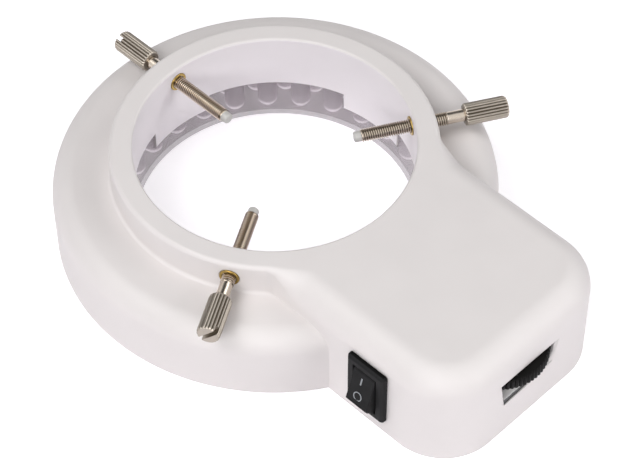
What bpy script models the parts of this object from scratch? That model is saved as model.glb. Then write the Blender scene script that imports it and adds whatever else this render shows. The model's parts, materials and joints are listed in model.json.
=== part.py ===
"""Ring lamp for a stereo microscope, as an assembly of its separate pieces.

Metres, +Z up. The origin is on the axis of the ring, in the plane that the lamp rests on.
The control box points to -Y, the rocker switch is on its -X side and the power socket on +X.
"""
import math

import bmesh
import bpy
from mathutils import Matrix, Vector

MM = 0.001
DEGREE = math.pi / 180

# Clearances between neighbouring pieces
GAP = 0.3 * MM
FIT = 0.15 * MM
OVERRUN = 1.0 * MM
MERGE_DISTANCE = 0.001 * MM
SMOOTH_ANGLE = 40 * DEGREE

# Collar, and the walls of the housing
BORE_RADIUS = 30.5 * MM
BORE_DRAFT = 0.35 * MM
COLLAR_WALL = 5.1 * MM
SHELL_WALL = 2.2 * MM
COLLAR_RIM_ROUND = 1.0 * MM
BORE_RIM_ROUND = 0.6 * MM
COLLAR_RADIUS = BORE_RADIUS + COLLAR_WALL

# Thin wall inside the bore, with its four tabs over the lens
INNER_WALL = 0.95 * MM
WINDOW_EDGE = 11.0 * MM
TAB_EDGE = 6.6 * MM
TAB_COUNT = 4
TAB_HALF_ANGLE = 15.5 * DEGREE
INNER_WALL_RADIUS = BORE_RADIUS + BORE_DRAFT + INNER_WALL

# Small screws with pan heads, and the bosses that they go into
SMALL_SCREW_RADIUS = 1.0 * MM
SMALL_HEAD_RADIUS = 1.9 * MM
SMALL_HEAD_HEIGHT = 1.1 * MM
SMALL_SCREW_LENGTH = 6.0 * MM
DRIVE_SLOT_WIDTH = 0.5 * MM
DRIVE_SLOT_DEPTH = 0.5 * MM
BOSS_RADIUS = 2.4 * MM

# Clear lens under the lights
LENS_RECESS = 0.2 * MM
LENS_FLOOR = 0.8 * MM
LENS_SKIRT = 0.75 * MM
LENS_LIP = 0.8 * MM
LENS_LIP_HEIGHT = 3.0 * MM
LENS_BEVEL = 0.25 * MM
LENS_BORE_STEP = 0.15 * MM
LENS_INNER_RADIUS = BORE_RADIUS + BORE_DRAFT + LENS_BORE_STEP

# Lights: two rows of domed lights under one ring board
LED_RADIUS = 2.3 * MM
LED_LENGTH = 8.7 * MM
LED_CARRIER = 0.8 * MM
LED_CARRIER_INSET = 0.4 * MM
LED_TIP_GAP = 0.3 * MM
LED_ROW_GAP = 0.5 * MM
INNER_LED_COUNT = 28
OUTER_LED_COUNT = 36
INNER_LED_PHASE = 10.2 * DEGREE
OUTER_LED_PHASE = 2.2 * DEGREE
LED_SIDES = 8
LED_DOME_STEPS = 2
LED_TIP_HEIGHT = LENS_RECESS + LENS_FLOOR + LED_TIP_GAP
LED_TOP_HEIGHT = LED_TIP_HEIGHT + LED_LENGTH
INNER_LED_ROW = INNER_WALL_RADIUS + FIT + LED_RADIUS
OUTER_LED_ROW = INNER_LED_ROW + 2 * LED_RADIUS + LED_ROW_GAP

# Ring board over the lights, and the screws that hold it
BOARD_THICKNESS = 1.6 * MM
BOARD_RIM = 0.5 * MM
LED_SCREW_COUNT = 4
LED_SCREW_PHASE = 45 * DEGREE
LED_BOSS_HEIGHT = 2.8 * MM
LED_SCREW_ORBIT = OUTER_LED_ROW + LED_RADIUS + FIT + SMALL_HEAD_RADIUS
LED_BOARD_BOTTOM = LED_TOP_HEIGHT + GAP
LED_BOARD_TOP = LED_BOARD_BOTTOM + BOARD_THICKNESS
LED_BOARD_INNER_RADIUS = INNER_WALL_RADIUS + GAP
LED_BOARD_OUTER_RADIUS = LED_SCREW_ORBIT + SMALL_HEAD_RADIUS + BOARD_RIM
LENS_OUTER_RADIUS = LED_BOARD_OUTER_RADIUS

# Ring of the housing, over the board
RING_SHOULDER = 5.2 * MM
RING_RADIUS = LED_BOARD_OUTER_RADIUS + GAP + SHELL_WALL
RING_TOP = LED_BOARD_TOP + GAP + LED_BOSS_HEIGHT + SHELL_WALL

# Base cover of the box
BASE_THICKNESS = 2.4 * MM
COUNTERBORE_DEPTH = 1.4 * MM

# Control board, seen from its back edge, which lies next to the ring
CONTROL_BOARD_TOP = 10.9 * MM
CONTROL_BOARD_THICKNESS = 1.2 * MM
BOARD_CLEARANCE = 2.5 * MM
PART_SPACING = 0.75 * MM
SCREW_EDGE = 0.2 * MM
WHEEL_CLEARANCE = 1.7 * MM
CONTROL_BOARD_BOTTOM = CONTROL_BOARD_TOP - CONTROL_BOARD_THICKNESS
BOARD_BACK_Y = -(LED_BOARD_OUTER_RADIUS + BOARD_CLEARANCE)
BACK_SCREW_Y = BOARD_BACK_Y - SCREW_EDGE - BOSS_RADIUS

# Dimmer wheel, behind the row of parts along the board's back edge
WHEEL_X = -1.0 * MM
WHEEL_RADIUS = 10.65 * MM
WHEEL_PROUD = 2.0 * MM
WHEEL_LIFT = 2.1 * MM
WHEEL_THICKNESS = 2.8 * MM
WHEEL_TEETH = 60
WHEEL_TOOTH_DEPTH = 0.35 * MM
WHEEL_STUB_RADIUS = 1.7 * MM
WHEEL_STUB_LENGTH = 1.1 * MM
WHEEL_DISH_RADIUS = 6.5 * MM
WHEEL_DISH_DEPTH = 0.6 * MM
POT_RADIUS = 5.0 * MM
POT_LUG_LENGTH = 3.2 * MM
POT_LUG_HALF_WIDTH = 2.6 * MM
WHEEL_BOTTOM = CONTROL_BOARD_TOP + WHEEL_LIFT
WHEEL_Y = BACK_SCREW_Y - BOSS_RADIUS - WHEEL_CLEARANCE - WHEEL_RADIUS

# Rocker switch
BEZEL_WIDTH = 10.2 * MM
BEZEL_HEIGHT = 14.8 * MM
BEZEL_THICKNESS = 1.4 * MM
BEZEL_ROUND = 0.8 * MM
SWITCH_BODY_WIDTH = 8.4 * MM
SWITCH_BODY_HEIGHT = 12.8 * MM
SWITCH_BODY_DEPTH = 10.0 * MM
SWITCH_BACK = 4.3 * MM
SWITCH_LIFT = 2.9 * MM
PADDLE_WIDTH = 5.9 * MM
PADDLE_RADIUS = 5.3 * MM
PADDLE_HALF_ANGLE = 50.6 * DEGREE
PADDLE_END_STEPS = 3
PADDLE_SHELF = 0.9 * MM
PADDLE_WAIST = 3.4 * MM
PADDLE_KEEL_DEPTH = 2.4 * MM
PADDLE_KEEL_HALF = 1.2 * MM
PADDLE_PIVOT_DEPTH = 2.0 * MM
PADDLE_TILT = 17 * DEGREE
TRUNNION_RADIUS = 0.6 * MM
TRUNNION_LENGTH = 0.8 * MM
SWITCH_POCKET_DEPTH = 3.2 * MM
TERMINAL_THICKNESS = 0.6 * MM
TERMINAL_WIDTH = 2.8 * MM
TERMINAL_LENGTH = 7.0 * MM
TERMINAL_SEAT = 1.6 * MM
TERMINAL_SPREAD = 3.2 * MM
SWITCH_Y = BOARD_BACK_Y - SWITCH_BACK
SWITCH_Z = BASE_THICKNESS + SWITCH_LIFT + SWITCH_BODY_HEIGHT / 2

# Power socket on the board
JACK_OVERHANG = 0.1 * MM
JACK_BODY_WIDTH = 9.0 * MM
JACK_BODY_HEIGHT = 8.2 * MM
JACK_BODY_LENGTH = 9.5 * MM
JACK_NOSE_RADIUS = 3.9 * MM
JACK_BORE_RADIUS = 2.8 * MM
JACK_BORE_DEPTH = 9.0 * MM
JACK_PIN_RADIUS = 1.0 * MM
JACK_PIN_RECESS = 1.0 * MM
JACK_PIN_SEAT = 1.5 * MM
JACK_RECESS = 0.4 * MM
JACK_Y = BOARD_BACK_Y + JACK_OVERHANG - JACK_BODY_WIDTH / 2
JACK_Z = CONTROL_BOARD_TOP + GAP + JACK_BODY_HEIGHT / 2

# Sizes of the other parts on the control board
CAPACITOR_RADIUS = 3.15 * MM
CAPACITOR_HEIGHT = 8.0 * MM
CAPACITOR_GROOVE = 0.25 * MM
COIL_FLANGE_RADIUS = 2.3 * MM
COIL_CORE_RADIUS = 1.8 * MM
COIL_HEIGHT = 4.0 * MM
COIL_FLANGE = 0.7 * MM
COIL_EDGE = 1.3 * MM
CHIP_LENGTH = 4.9 * MM
CHIP_WIDTH = 3.9 * MM
CHIP_HEIGHT = 1.5 * MM
CHIP_PIN_REACH = 1.0 * MM
CHIP_PIN_WIDTH = 0.45 * MM
CHIP_PIN_PITCH = 1.27 * MM
CHIP_PINS_A_SIDE = 4
CHIP_SPACING = 2.2 * MM
CHIP_DROP = 1.5 * MM
RESISTOR_RADIUS = 0.6 * MM
RESISTOR_LENGTH = 3.4 * MM
RESISTOR_BULGE = 0.15 * MM
RESISTOR_SIDE = 5.2 * MM
RESISTOR_BACK = 3.95 * MM
LEAD_RADIUS = 0.6 * MM
LEAD_SPACING = 2.6 * MM
LEAD_ARCH = 3.4 * MM
LEAD_POINTS = 9
LEAD_EDGE = 1.2 * MM

# Width of the box: the switch, its wiring, the row of parts and the socket, side by side
WIRING_ROOM = 3.1 * MM
SWITCH_REACH = SWITCH_BODY_DEPTH - TERMINAL_SEAT + TERMINAL_LENGTH
ROW_WIDTH = (LEAD_EDGE + LEAD_RADIUS + 2 * COIL_FLANGE_RADIUS + 2 * BOSS_RADIUS
             + 2 * CAPACITOR_RADIUS + 4 * PART_SPACING)
BOX_HALF_WIDTH = (SWITCH_REACH + WIRING_ROOM + ROW_WIDTH + JACK_BODY_LENGTH + GAP
                  + SHELL_WALL) / 2
SOCKET_INNER_X = BOX_HALF_WIDTH - SHELL_WALL - GAP - JACK_BODY_LENGTH
CAPACITOR_X = SOCKET_INNER_X - PART_SPACING - CAPACITOR_RADIUS
BACK_SCREW_X = CAPACITOR_X - CAPACITOR_RADIUS - PART_SPACING - BOSS_RADIUS
COIL_X = BACK_SCREW_X - BOSS_RADIUS - PART_SPACING - COIL_FLANGE_RADIUS
PAD_X = COIL_X - COIL_FLANGE_RADIUS - PART_SPACING - LEAD_RADIUS
BOARD_TAIL_LEFT_X = PAD_X - LEAD_EDGE
BOARD_TAIL_RIGHT_X = BOX_HALF_WIDTH - SHELL_WALL - BOARD_RIM - FIT

# Length and height of the box, and its rounding
BOX_CORNER = 13.0 * MM
BOX_TOP_ROUND = 6.0 * MM
NECK_ROUND = 4.0 * MM
NECK_BLEND = 6.0 * MM
SOCKET_HEADROOM = 3.4 * MM
BOX_REACH = WHEEL_RADIUS - WHEEL_PROUD - WHEEL_Y
BODY_HEIGHT = (CONTROL_BOARD_TOP + GAP + JACK_BODY_HEIGHT + SOCKET_HEADROOM
               + SHELL_WALL)

# Places of the remaining parts on the board
SIDE_SCREW_CLEARANCE = 0.35 * MM
LEFT_SCREW_BEARING = 157.8 * DEGREE
RIGHT_SCREW_BEARING = 19.6 * DEGREE
SIDE_SCREW_ORBIT = WHEEL_RADIUS + BOSS_RADIUS + SIDE_SCREW_CLEARANCE
CAPACITOR_PLACE = (
    CAPACITOR_X,
    BOARD_BACK_Y - LEAD_EDGE - LEAD_RADIUS - PART_SPACING - CAPACITOR_RADIUS,
)
COIL_PLACE = (COIL_X, BOARD_BACK_Y - COIL_EDGE - COIL_FLANGE_RADIUS)
CHIP_PLACE = (
    WHEEL_X + POT_RADIUS + CHIP_SPACING + CHIP_LENGTH / 2,
    WHEEL_Y - CHIP_DROP,
)
RESISTOR_PLACE = (WHEEL_X + RESISTOR_SIDE, WHEEL_Y + POT_RADIUS + RESISTOR_BACK)
BOARD_SCREW_PLACES = (
    (WHEEL_X + SIDE_SCREW_ORBIT * math.cos(LEFT_SCREW_BEARING),
     WHEEL_Y + SIDE_SCREW_ORBIT * math.sin(LEFT_SCREW_BEARING)),
    (WHEEL_X + SIDE_SCREW_ORBIT * math.cos(RIGHT_SCREW_BEARING),
     WHEEL_Y + SIDE_SCREW_ORBIT * math.sin(RIGHT_SCREW_BEARING)),
    (BACK_SCREW_X, BACK_SCREW_Y),
)

# Outline of the control board
BOARD_NOSE_LENGTH = 3.5 * MM
BOARD_NOSE_SIDE = 4.8 * MM
BOARD_SHOULDER_SPACING = 0.9 * MM
BOARD_HALF_WIDTH = BOSS_RADIUS - BOARD_SCREW_PLACES[0][0]
BOARD_SHOULDER_Y = JACK_Y - JACK_BODY_WIDTH / 2 - BOARD_SHOULDER_SPACING

# Slot for the wheel
SLOT_WALL = 1.2 * MM
SLOT_TOP_SIDE = 1.2 * MM
SLOT_BOTTOM_INSET = 0.1 * MM
SLOT_ROOM = 0.7 * MM
SLOT_TILT = 1.4 * MM
POCKET_SIDE = 2.2 * MM
TONGUE_SIDE = 0.5 * MM
TONGUE_WIDTH = 6.2 * MM
TONGUE_RECESS = 0.3 * MM
WHEEL_DEPTH = WHEEL_PROUD + SLOT_WALL
WHEEL_HALF_CHORD = math.sqrt((2 * WHEEL_RADIUS - WHEEL_DEPTH) * WHEEL_DEPTH)
SLOT_TOP = WHEEL_BOTTOM + WHEEL_THICKNESS + SLOT_ROOM
SLOT_LEFT_BOTTOM = CONTROL_BOARD_BOTTOM - SLOT_ROOM
SLOT_RIGHT_BOTTOM = SLOT_LEFT_BOTTOM + SLOT_TILT
SLOT_TOP_HALF_WIDTH = WHEEL_HALF_CHORD + SLOT_TOP_SIDE
SLOT_BOTTOM_HALF_WIDTH = WHEEL_HALF_CHORD - SLOT_BOTTOM_INSET
TONGUE_LEFT_X = WHEEL_X - SLOT_BOTTOM_HALF_WIDTH + TONGUE_SIDE

# Screws of the base cover: two beside the ring and two in the box's corners
COVER_SCREW_SIDE = 6.4 * MM
COVER_SCREW_END = 11.1 * MM
COVER_SCREW_RING = 1.0 * MM
COVER_SCREW_X = BOX_HALF_WIDTH - COVER_SCREW_SIDE
RING_SCREW_ORBIT = LENS_OUTER_RADIUS + COVER_SCREW_RING + BOSS_RADIUS
RING_SCREW_Y = -math.sqrt(RING_SCREW_ORBIT ** 2 - COVER_SCREW_X ** 2)
CORNER_SCREW_Y = COVER_SCREW_END - BOX_REACH
COVER_SCREW_PLACES = (
    (COVER_SCREW_X, RING_SCREW_Y),
    (COVER_SCREW_X, CORNER_SCREW_Y),
    (-COVER_SCREW_X, CORNER_SCREW_Y),
    (-COVER_SCREW_X, RING_SCREW_Y),
)

# Radial thumb screws with nylon tips, in brass inserts
SCREW_DROP = 4.0 * MM
SCREW_ANGLES = (90 * DEGREE, -30 * DEGREE, -150 * DEGREE)
SCREW_BACKED_OUT = (3.35 * MM, 6.75 * MM, 5.75 * MM)
SCREW_RADIUS = 1.5 * MM
SCREW_REACH = 25.0 * MM
NECK_RADIUS = 1.25 * MM
NECK_LENGTH = 4.0 * MM
POINT_RADIUS = 1.3 * MM
POINT_LENGTH = 0.5 * MM
HEAD_RADIUS = 2.5 * MM
HEAD_LENGTH = 9.8 * MM
HEAD_CHAMFER = 0.6 * MM
FLUTE_COUNT = 18
FLUTE_DEPTH = 0.32 * MM
HEAD_SLOT_WIDTH = 1.0 * MM
HEAD_SLOT_DEPTH = 1.5 * MM
TIP_LENGTH = 1.3 * MM
TIP_RADIUS = 1.4 * MM
TIP_PEG_RADIUS = 0.7 * MM
TIP_PEG_LENGTH = 1.8 * MM
INSERT_RADIUS = 2.3 * MM
INSERT_PROUD = 0.25 * MM
INSERT_CHAMFER = 0.2 * MM
SCREW_HEIGHT = BODY_HEIGHT - SCREW_DROP

# Facets
RING_SIDES = 72
SMALL_SIDES = 12
SCREW_SIDES = 20
ROUND_STEPS = 5


def clear_scene():
    for item in list(bpy.data.objects):
        bpy.data.objects.remove(item)


def new_material(name, color, roughness, metallic):
    """A Principled material with one colour, given as linear red, green and blue."""
    material = bpy.data.materials.new(name)
    material.use_nodes = True
    shader = material.node_tree.nodes["Principled BSDF"]
    shader.inputs["Base Color"].default_value = (*color, 1)
    shader.inputs["Roughness"].default_value = roughness
    shader.inputs["Metallic"].default_value = metallic
    return material


def make_materials():
    table = {
        "white_abs": ((0.72, 0.69, 0.67), 0.35, 0),
        "clear_polycarbonate": ((0.42, 0.39, 0.41), 0.15, 0),
        "white_board": ((0.78, 0.78, 0.74), 0.5, 0),
        "led_epoxy": ((0.85, 0.86, 0.9), 0.1, 0),
        "nickel_plate": ((0.56, 0.53, 0.48), 0.25, 1),
        "brass": ((0.6, 0.43, 0.15), 0.3, 1),
        "nylon": ((0.82, 0.82, 0.8), 0.45, 0),
        "black_plastic": ((0.012, 0.012, 0.013), 0.4, 0),
        "zinc_steel": ((0.5, 0.5, 0.52), 0.35, 1),
        "tinned_brass": ((0.62, 0.6, 0.55), 0.3, 1),
        "can_sleeve": ((0.02, 0.03, 0.12), 0.4, 0),
        "ferrite": ((0.05, 0.05, 0.055), 0.6, 0),
        "resistor_body": ((0.45, 0.3, 0.14), 0.5, 0),
        "red_lead": ((0.5, 0.02, 0.02), 0.45, 0),
        "black_lead": ((0.01, 0.01, 0.01), 0.45, 0),
    }
    return {name: new_material(name, *values) for name, values in table.items()}


def to_object(name, mesh_builder, material=None):
    """Close a bmesh into an object, with merged points and faces that point outwards."""
    bmesh.ops.remove_doubles(mesh_builder, verts=mesh_builder.verts, dist=MERGE_DISTANCE)
    bmesh.ops.recalc_face_normals(mesh_builder, faces=mesh_builder.faces)
    mesh = bpy.data.meshes.new(name)
    mesh_builder.to_mesh(mesh)
    mesh_builder.free()
    item = bpy.data.objects.new(name, mesh)
    bpy.context.scene.collection.objects.link(item)
    if material:
        mesh.materials.append(material)
    return item


def smooth(item):
    item.data.shade_smooth()
    item.data.set_sharp_from_angle(angle=SMOOTH_ANGLE)


def add_turned(mesh_builder, profile, sides, closed=False):
    """Spin a profile of (radius, height) points once round Z; an open one ends on the axis."""
    points = [mesh_builder.verts.new((radius, 0, height)) for radius, height in profile]
    pairs = list(zip(points, points[1:]))
    if closed:
        pairs.append((points[-1], points[0]))
    edges = [mesh_builder.edges.new(pair) for pair in pairs]
    bmesh.ops.spin(mesh_builder, geom=points + edges, axis=(0, 0, 1), cent=(0, 0, 0),
                   angle=math.tau, steps=sides, use_merge=True, use_duplicate=False)


def turned(name, profile, sides, material=None, closed=False):
    mesh_builder = bmesh.new()
    add_turned(mesh_builder, profile, sides, closed)
    return to_object(name, mesh_builder, material)


def add_loft(mesh_builder, loops):
    """Join loops of as many points each, one after the other, and cap both ends."""
    rings = [[mesh_builder.verts.new(point) for point in loop] for loop in loops]
    for low, high in zip(rings, rings[1:]):
        for index, corner in enumerate(low):
            following = (index + 1) % len(low)
            mesh_builder.faces.new((corner, low[following], high[following], high[index]))
    mesh_builder.faces.new(list(reversed(rings[0])))
    mesh_builder.faces.new(rings[-1])


def lofted(name, loops, material=None):
    mesh_builder = bmesh.new()
    add_loft(mesh_builder, loops)
    return to_object(name, mesh_builder, material)


def prism(name, outline, bottom, top, material=None):
    """Extrude an outline of (x, y) points from bottom to top."""
    loops = [[(x, y, height) for x, y in outline] for height in (bottom, top)]
    return lofted(name, loops, material)


def block(name, low, high, material=None):
    outline = ((low[0], low[1]), (high[0], low[1]), (high[0], high[1]), (low[0], high[1]))
    return prism(name, outline, low[2], high[2], material)


def rod(name, start, end, radius, sides, material=None):
    """A plain cylinder from one point to another."""
    start, end = Vector(start), Vector(end)
    length = (end - start).length
    item = turned(name, ((0, 0), (radius, 0), (radius, length), (0, length)), sides, material)
    turn = (end - start).to_track_quat("Z", "Y").to_matrix().to_4x4()
    item.data.transform(Matrix.Translation(start) @ turn)
    return item


def combine(target, tool, operation):
    """Apply a Boolean between two objects and remove the tool."""
    modifier = target.modifiers.new(operation, "BOOLEAN")
    modifier.operation = operation
    modifier.solver = "EXACT"
    modifier.object = tool
    bpy.context.view_layer.update()
    graph = bpy.context.evaluated_depsgraph_get()
    mesh = bpy.data.meshes.new_from_object(target.evaluated_get(graph))
    target.modifiers.remove(modifier)
    mesh_builder = bmesh.new()
    mesh_builder.from_mesh(mesh)
    bmesh.ops.remove_doubles(mesh_builder, verts=mesh_builder.verts, dist=MERGE_DISTANCE)
    bmesh.ops.dissolve_degenerate(mesh_builder, edges=mesh_builder.edges, dist=MERGE_DISTANCE)
    mesh_builder.to_mesh(mesh)
    mesh_builder.free()
    mesh.name = target.name
    target.data = mesh
    bpy.data.objects.remove(tool)


def cut(target, tool):
    combine(target, tool, "DIFFERENCE")


def add_to(target, tool):
    combine(target, tool, "UNION")


def arc(centre, radius, start, end, steps):
    """Points (x, y) along an arc, both ends included."""
    return [
        (
            centre[0] + radius * math.cos(start + (end - start) * step / steps),
            centre[1] + radius * math.sin(start + (end - start) * step / steps),
        )
        for step in range(steps + 1)
    ]


def place_radially(item, angle, distance, height):
    """Stand an item with its own +Z pointing away from the axis of the ring."""
    item.location = (distance * math.cos(angle), distance * math.sin(angle), height)
    item.rotation_euler = (0, math.pi / 2, angle)


# Outline of the collar and the box, seen from above


def neck_centre():
    """Centre of the hollow round between the collar and the box's +X side."""
    across = BOX_HALF_WIDTH + NECK_ROUND
    reach = COLLAR_RADIUS + NECK_ROUND
    return across, -math.sqrt(reach * reach - across * across)


def body_outline(inset):
    """Points (x, y), outward normal and top rounding of the collar with its box.

    The whole outline is drawn in by inset. It runs anticlockwise from the tip of the neck.
    """
    neck_x, neck_y = neck_centre()
    meeting = math.atan2(neck_y, neck_x)
    points = []

    def add(x, y, normal_angle, rounding):
        normal = (math.cos(normal_angle), math.sin(normal_angle))
        points.append(((x - inset * normal[0], y - inset * normal[1]), normal, rounding))

    collar_steps = 44
    sweep = math.pi - 2 * meeting
    for step in range(collar_steps + 1):
        angle = meeting + sweep * step / collar_steps
        add(COLLAR_RADIUS * math.cos(angle), COLLAR_RADIUS * math.sin(angle), angle,
            COLLAR_RIM_ROUND)
    half = []
    for step in range(1, ROUND_STEPS + 1):
        share = step / ROUND_STEPS
        angle = (math.pi + meeting) * (1 - share) + math.pi * share
        half.append((neck_x + NECK_ROUND * math.cos(angle),
                     neck_y + NECK_ROUND * math.sin(angle), angle - math.pi))
    blend_end = neck_y - NECK_BLEND
    corner_y = -(BOX_REACH - BOX_CORNER)
    side_places = (neck_y - NECK_BLEND / 2, blend_end, (blend_end + corner_y) / 2)
    half.extend((BOX_HALF_WIDTH, place, 0) for place in side_places)
    corner_steps = 10
    corner_x = BOX_HALF_WIDTH - BOX_CORNER
    for step in range(corner_steps + 1):
        angle = -math.pi / 2 * step / corner_steps
        half.append((corner_x + BOX_CORNER * math.cos(angle),
                     corner_y + BOX_CORNER * math.sin(angle), angle))
    start_y = COLLAR_RADIUS * math.sin(meeting)

    def rounding_at(y):
        share = min(1, max(0, (start_y - y) / (start_y - blend_end)))
        eased = share * share * (3 - 2 * share)
        return COLLAR_RIM_ROUND + (BOX_TOP_ROUND - COLLAR_RIM_ROUND) * eased

    for x, y, angle in half:
        add(-x, y, math.pi - angle, rounding_at(y))
    for x, y, angle in reversed(half):
        add(x, y, angle, rounding_at(y))
    return points


def body_solid(name, inset, bottom, material=None):
    """The collar and box, drawn in all over by inset, with its rounded top edge."""
    outline = body_outline(inset)
    top = BODY_HEIGHT - inset
    loops = [[(point[0], point[1], bottom) for point, _, _ in outline]]
    for step in range(ROUND_STEPS + 1):
        turn = math.pi / 2 * step / ROUND_STEPS
        loop = []
        for point, normal, rounding in outline:
            left = max(rounding - inset, COLLAR_RIM_ROUND / 2)
            draw_in = left * (1 - math.cos(turn))
            loop.append((point[0] - normal[0] * draw_in, point[1] - normal[1] * draw_in,
                         top - left * (1 - math.sin(turn))))
        loops.append(loop)
    return lofted(name, loops, material)


# Housing


def ring_solid(material):
    """Outer ring with its rounded shoulder, up to its flat top."""
    shoulder = [
        (RING_RADIUS - RING_SHOULDER * (1 - math.cos(math.pi / 2 * step / ROUND_STEPS)),
         RING_TOP - RING_SHOULDER * (1 - math.sin(math.pi / 2 * step / ROUND_STEPS)))
        for step in range(ROUND_STEPS + 1)
    ]
    profile = [(0, 0), (RING_RADIUS, 0), *shoulder, (0, RING_TOP)]
    return turned("upper_housing", profile, RING_SIDES, material)


def bore_cutter():
    """Bore of the collar: slightly wider at its foot, with a rounded upper rim."""
    rim = [
        (BORE_RADIUS + BORE_RIM_ROUND * (1 - math.cos(math.pi / 2 * step / ROUND_STEPS)),
         BODY_HEIGHT - BORE_RIM_ROUND * (1 - math.sin(math.pi / 2 * step / ROUND_STEPS)))
        for step in range(ROUND_STEPS + 1)
    ]
    profile = [
        (0, -OVERRUN),
        (BORE_RADIUS + BORE_DRAFT, -OVERRUN),
        (BORE_RADIUS + BORE_DRAFT, WINDOW_EDGE),
        *rim,
        (BORE_RADIUS + BORE_RIM_ROUND, BODY_HEIGHT + OVERRUN),
        (0, BODY_HEIGHT + OVERRUN),
    ]
    return turned("bore_cutter", profile, RING_SIDES)


def ring_cavity_cutter():
    """Channel for the lights, open below, with a step that the ring board seats against."""
    outer = RING_RADIUS - SHELL_WALL
    ceiling = RING_TOP - SHELL_WALL
    step_height = LED_BOARD_TOP + GAP
    step_radius = COLLAR_RADIUS - FIT
    corner = RING_SHOULDER - SHELL_WALL
    profile = [
        (INNER_WALL_RADIUS, -OVERRUN),
        (outer, -OVERRUN),
        (outer, ceiling - corner),
        (outer - corner, ceiling),
        (step_radius, ceiling),
        (step_radius, step_height),
        (INNER_WALL_RADIUS, step_height),
    ]
    return turned("ring_cavity_cutter", profile, RING_SIDES, closed=True)


def box_cavity_cutter():
    """Inside of the control box, which stops short of the collar's wall."""
    cutter = body_solid("box_cavity_cutter", SHELL_WALL, -OVERRUN)
    keep = COLLAR_RADIUS + GAP
    keeper = turned("collar_keeper", ((0, -2 * OVERRUN), (keep, -2 * OVERRUN),
                                      (keep, BODY_HEIGHT), (0, BODY_HEIGHT)), RING_SIDES)
    cut(cutter, keeper)
    return cutter


def wall_window_cutter(index):
    """Opens the thin inner wall between two tabs, from below up to the window edge."""
    pitch = math.tau / TAB_COUNT
    start = index * pitch + TAB_HALF_ANGLE
    end = (index + 1) * pitch - TAB_HALF_ANGLE
    steps = 12
    inner = BORE_RADIUS - OVERRUN
    outer = INNER_WALL_RADIUS + FIT
    outline = arc((0, 0), outer, start, end, steps) + arc((0, 0), inner, end, start, steps)
    return prism("wall_window_cutter", outline, -OVERRUN, WINDOW_EDGE)


def boss(place, radius, bottom, top):
    return rod("boss", (*place, bottom), (*place, top), radius, SMALL_SIDES)


def pilot_hole(place, bottom, length):
    radius = SMALL_SCREW_RADIUS + FIT
    return rod("pilot_hole", (*place, bottom - OVERRUN), (*place, bottom + length), radius,
               SMALL_SIDES)


def led_screw_places():
    return [
        (LED_SCREW_ORBIT * math.cos(LED_SCREW_PHASE + math.tau * index / LED_SCREW_COUNT),
         LED_SCREW_ORBIT * math.sin(LED_SCREW_PHASE + math.tau * index / LED_SCREW_COUNT))
        for index in range(LED_SCREW_COUNT)
    ]


def slot_outline(margin):
    """Corners (x, z) of the wheel's slot, widened by margin."""
    top = SLOT_TOP + margin
    top_half = SLOT_TOP_HALF_WIDTH + margin
    bottom_half = SLOT_BOTTOM_HALF_WIDTH + margin
    return (
        (WHEEL_X - top_half, top),
        (WHEEL_X - bottom_half, SLOT_LEFT_BOTTOM - margin),
        (WHEEL_X + bottom_half, SLOT_RIGHT_BOTTOM - margin),
        (WHEEL_X + top_half, top),
    )


def slot_cutter(name, margin, front, back):
    loops = [[(x, y, z) for x, z in slot_outline(margin)] for y in (front, back)]
    return lofted(name, loops)


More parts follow.
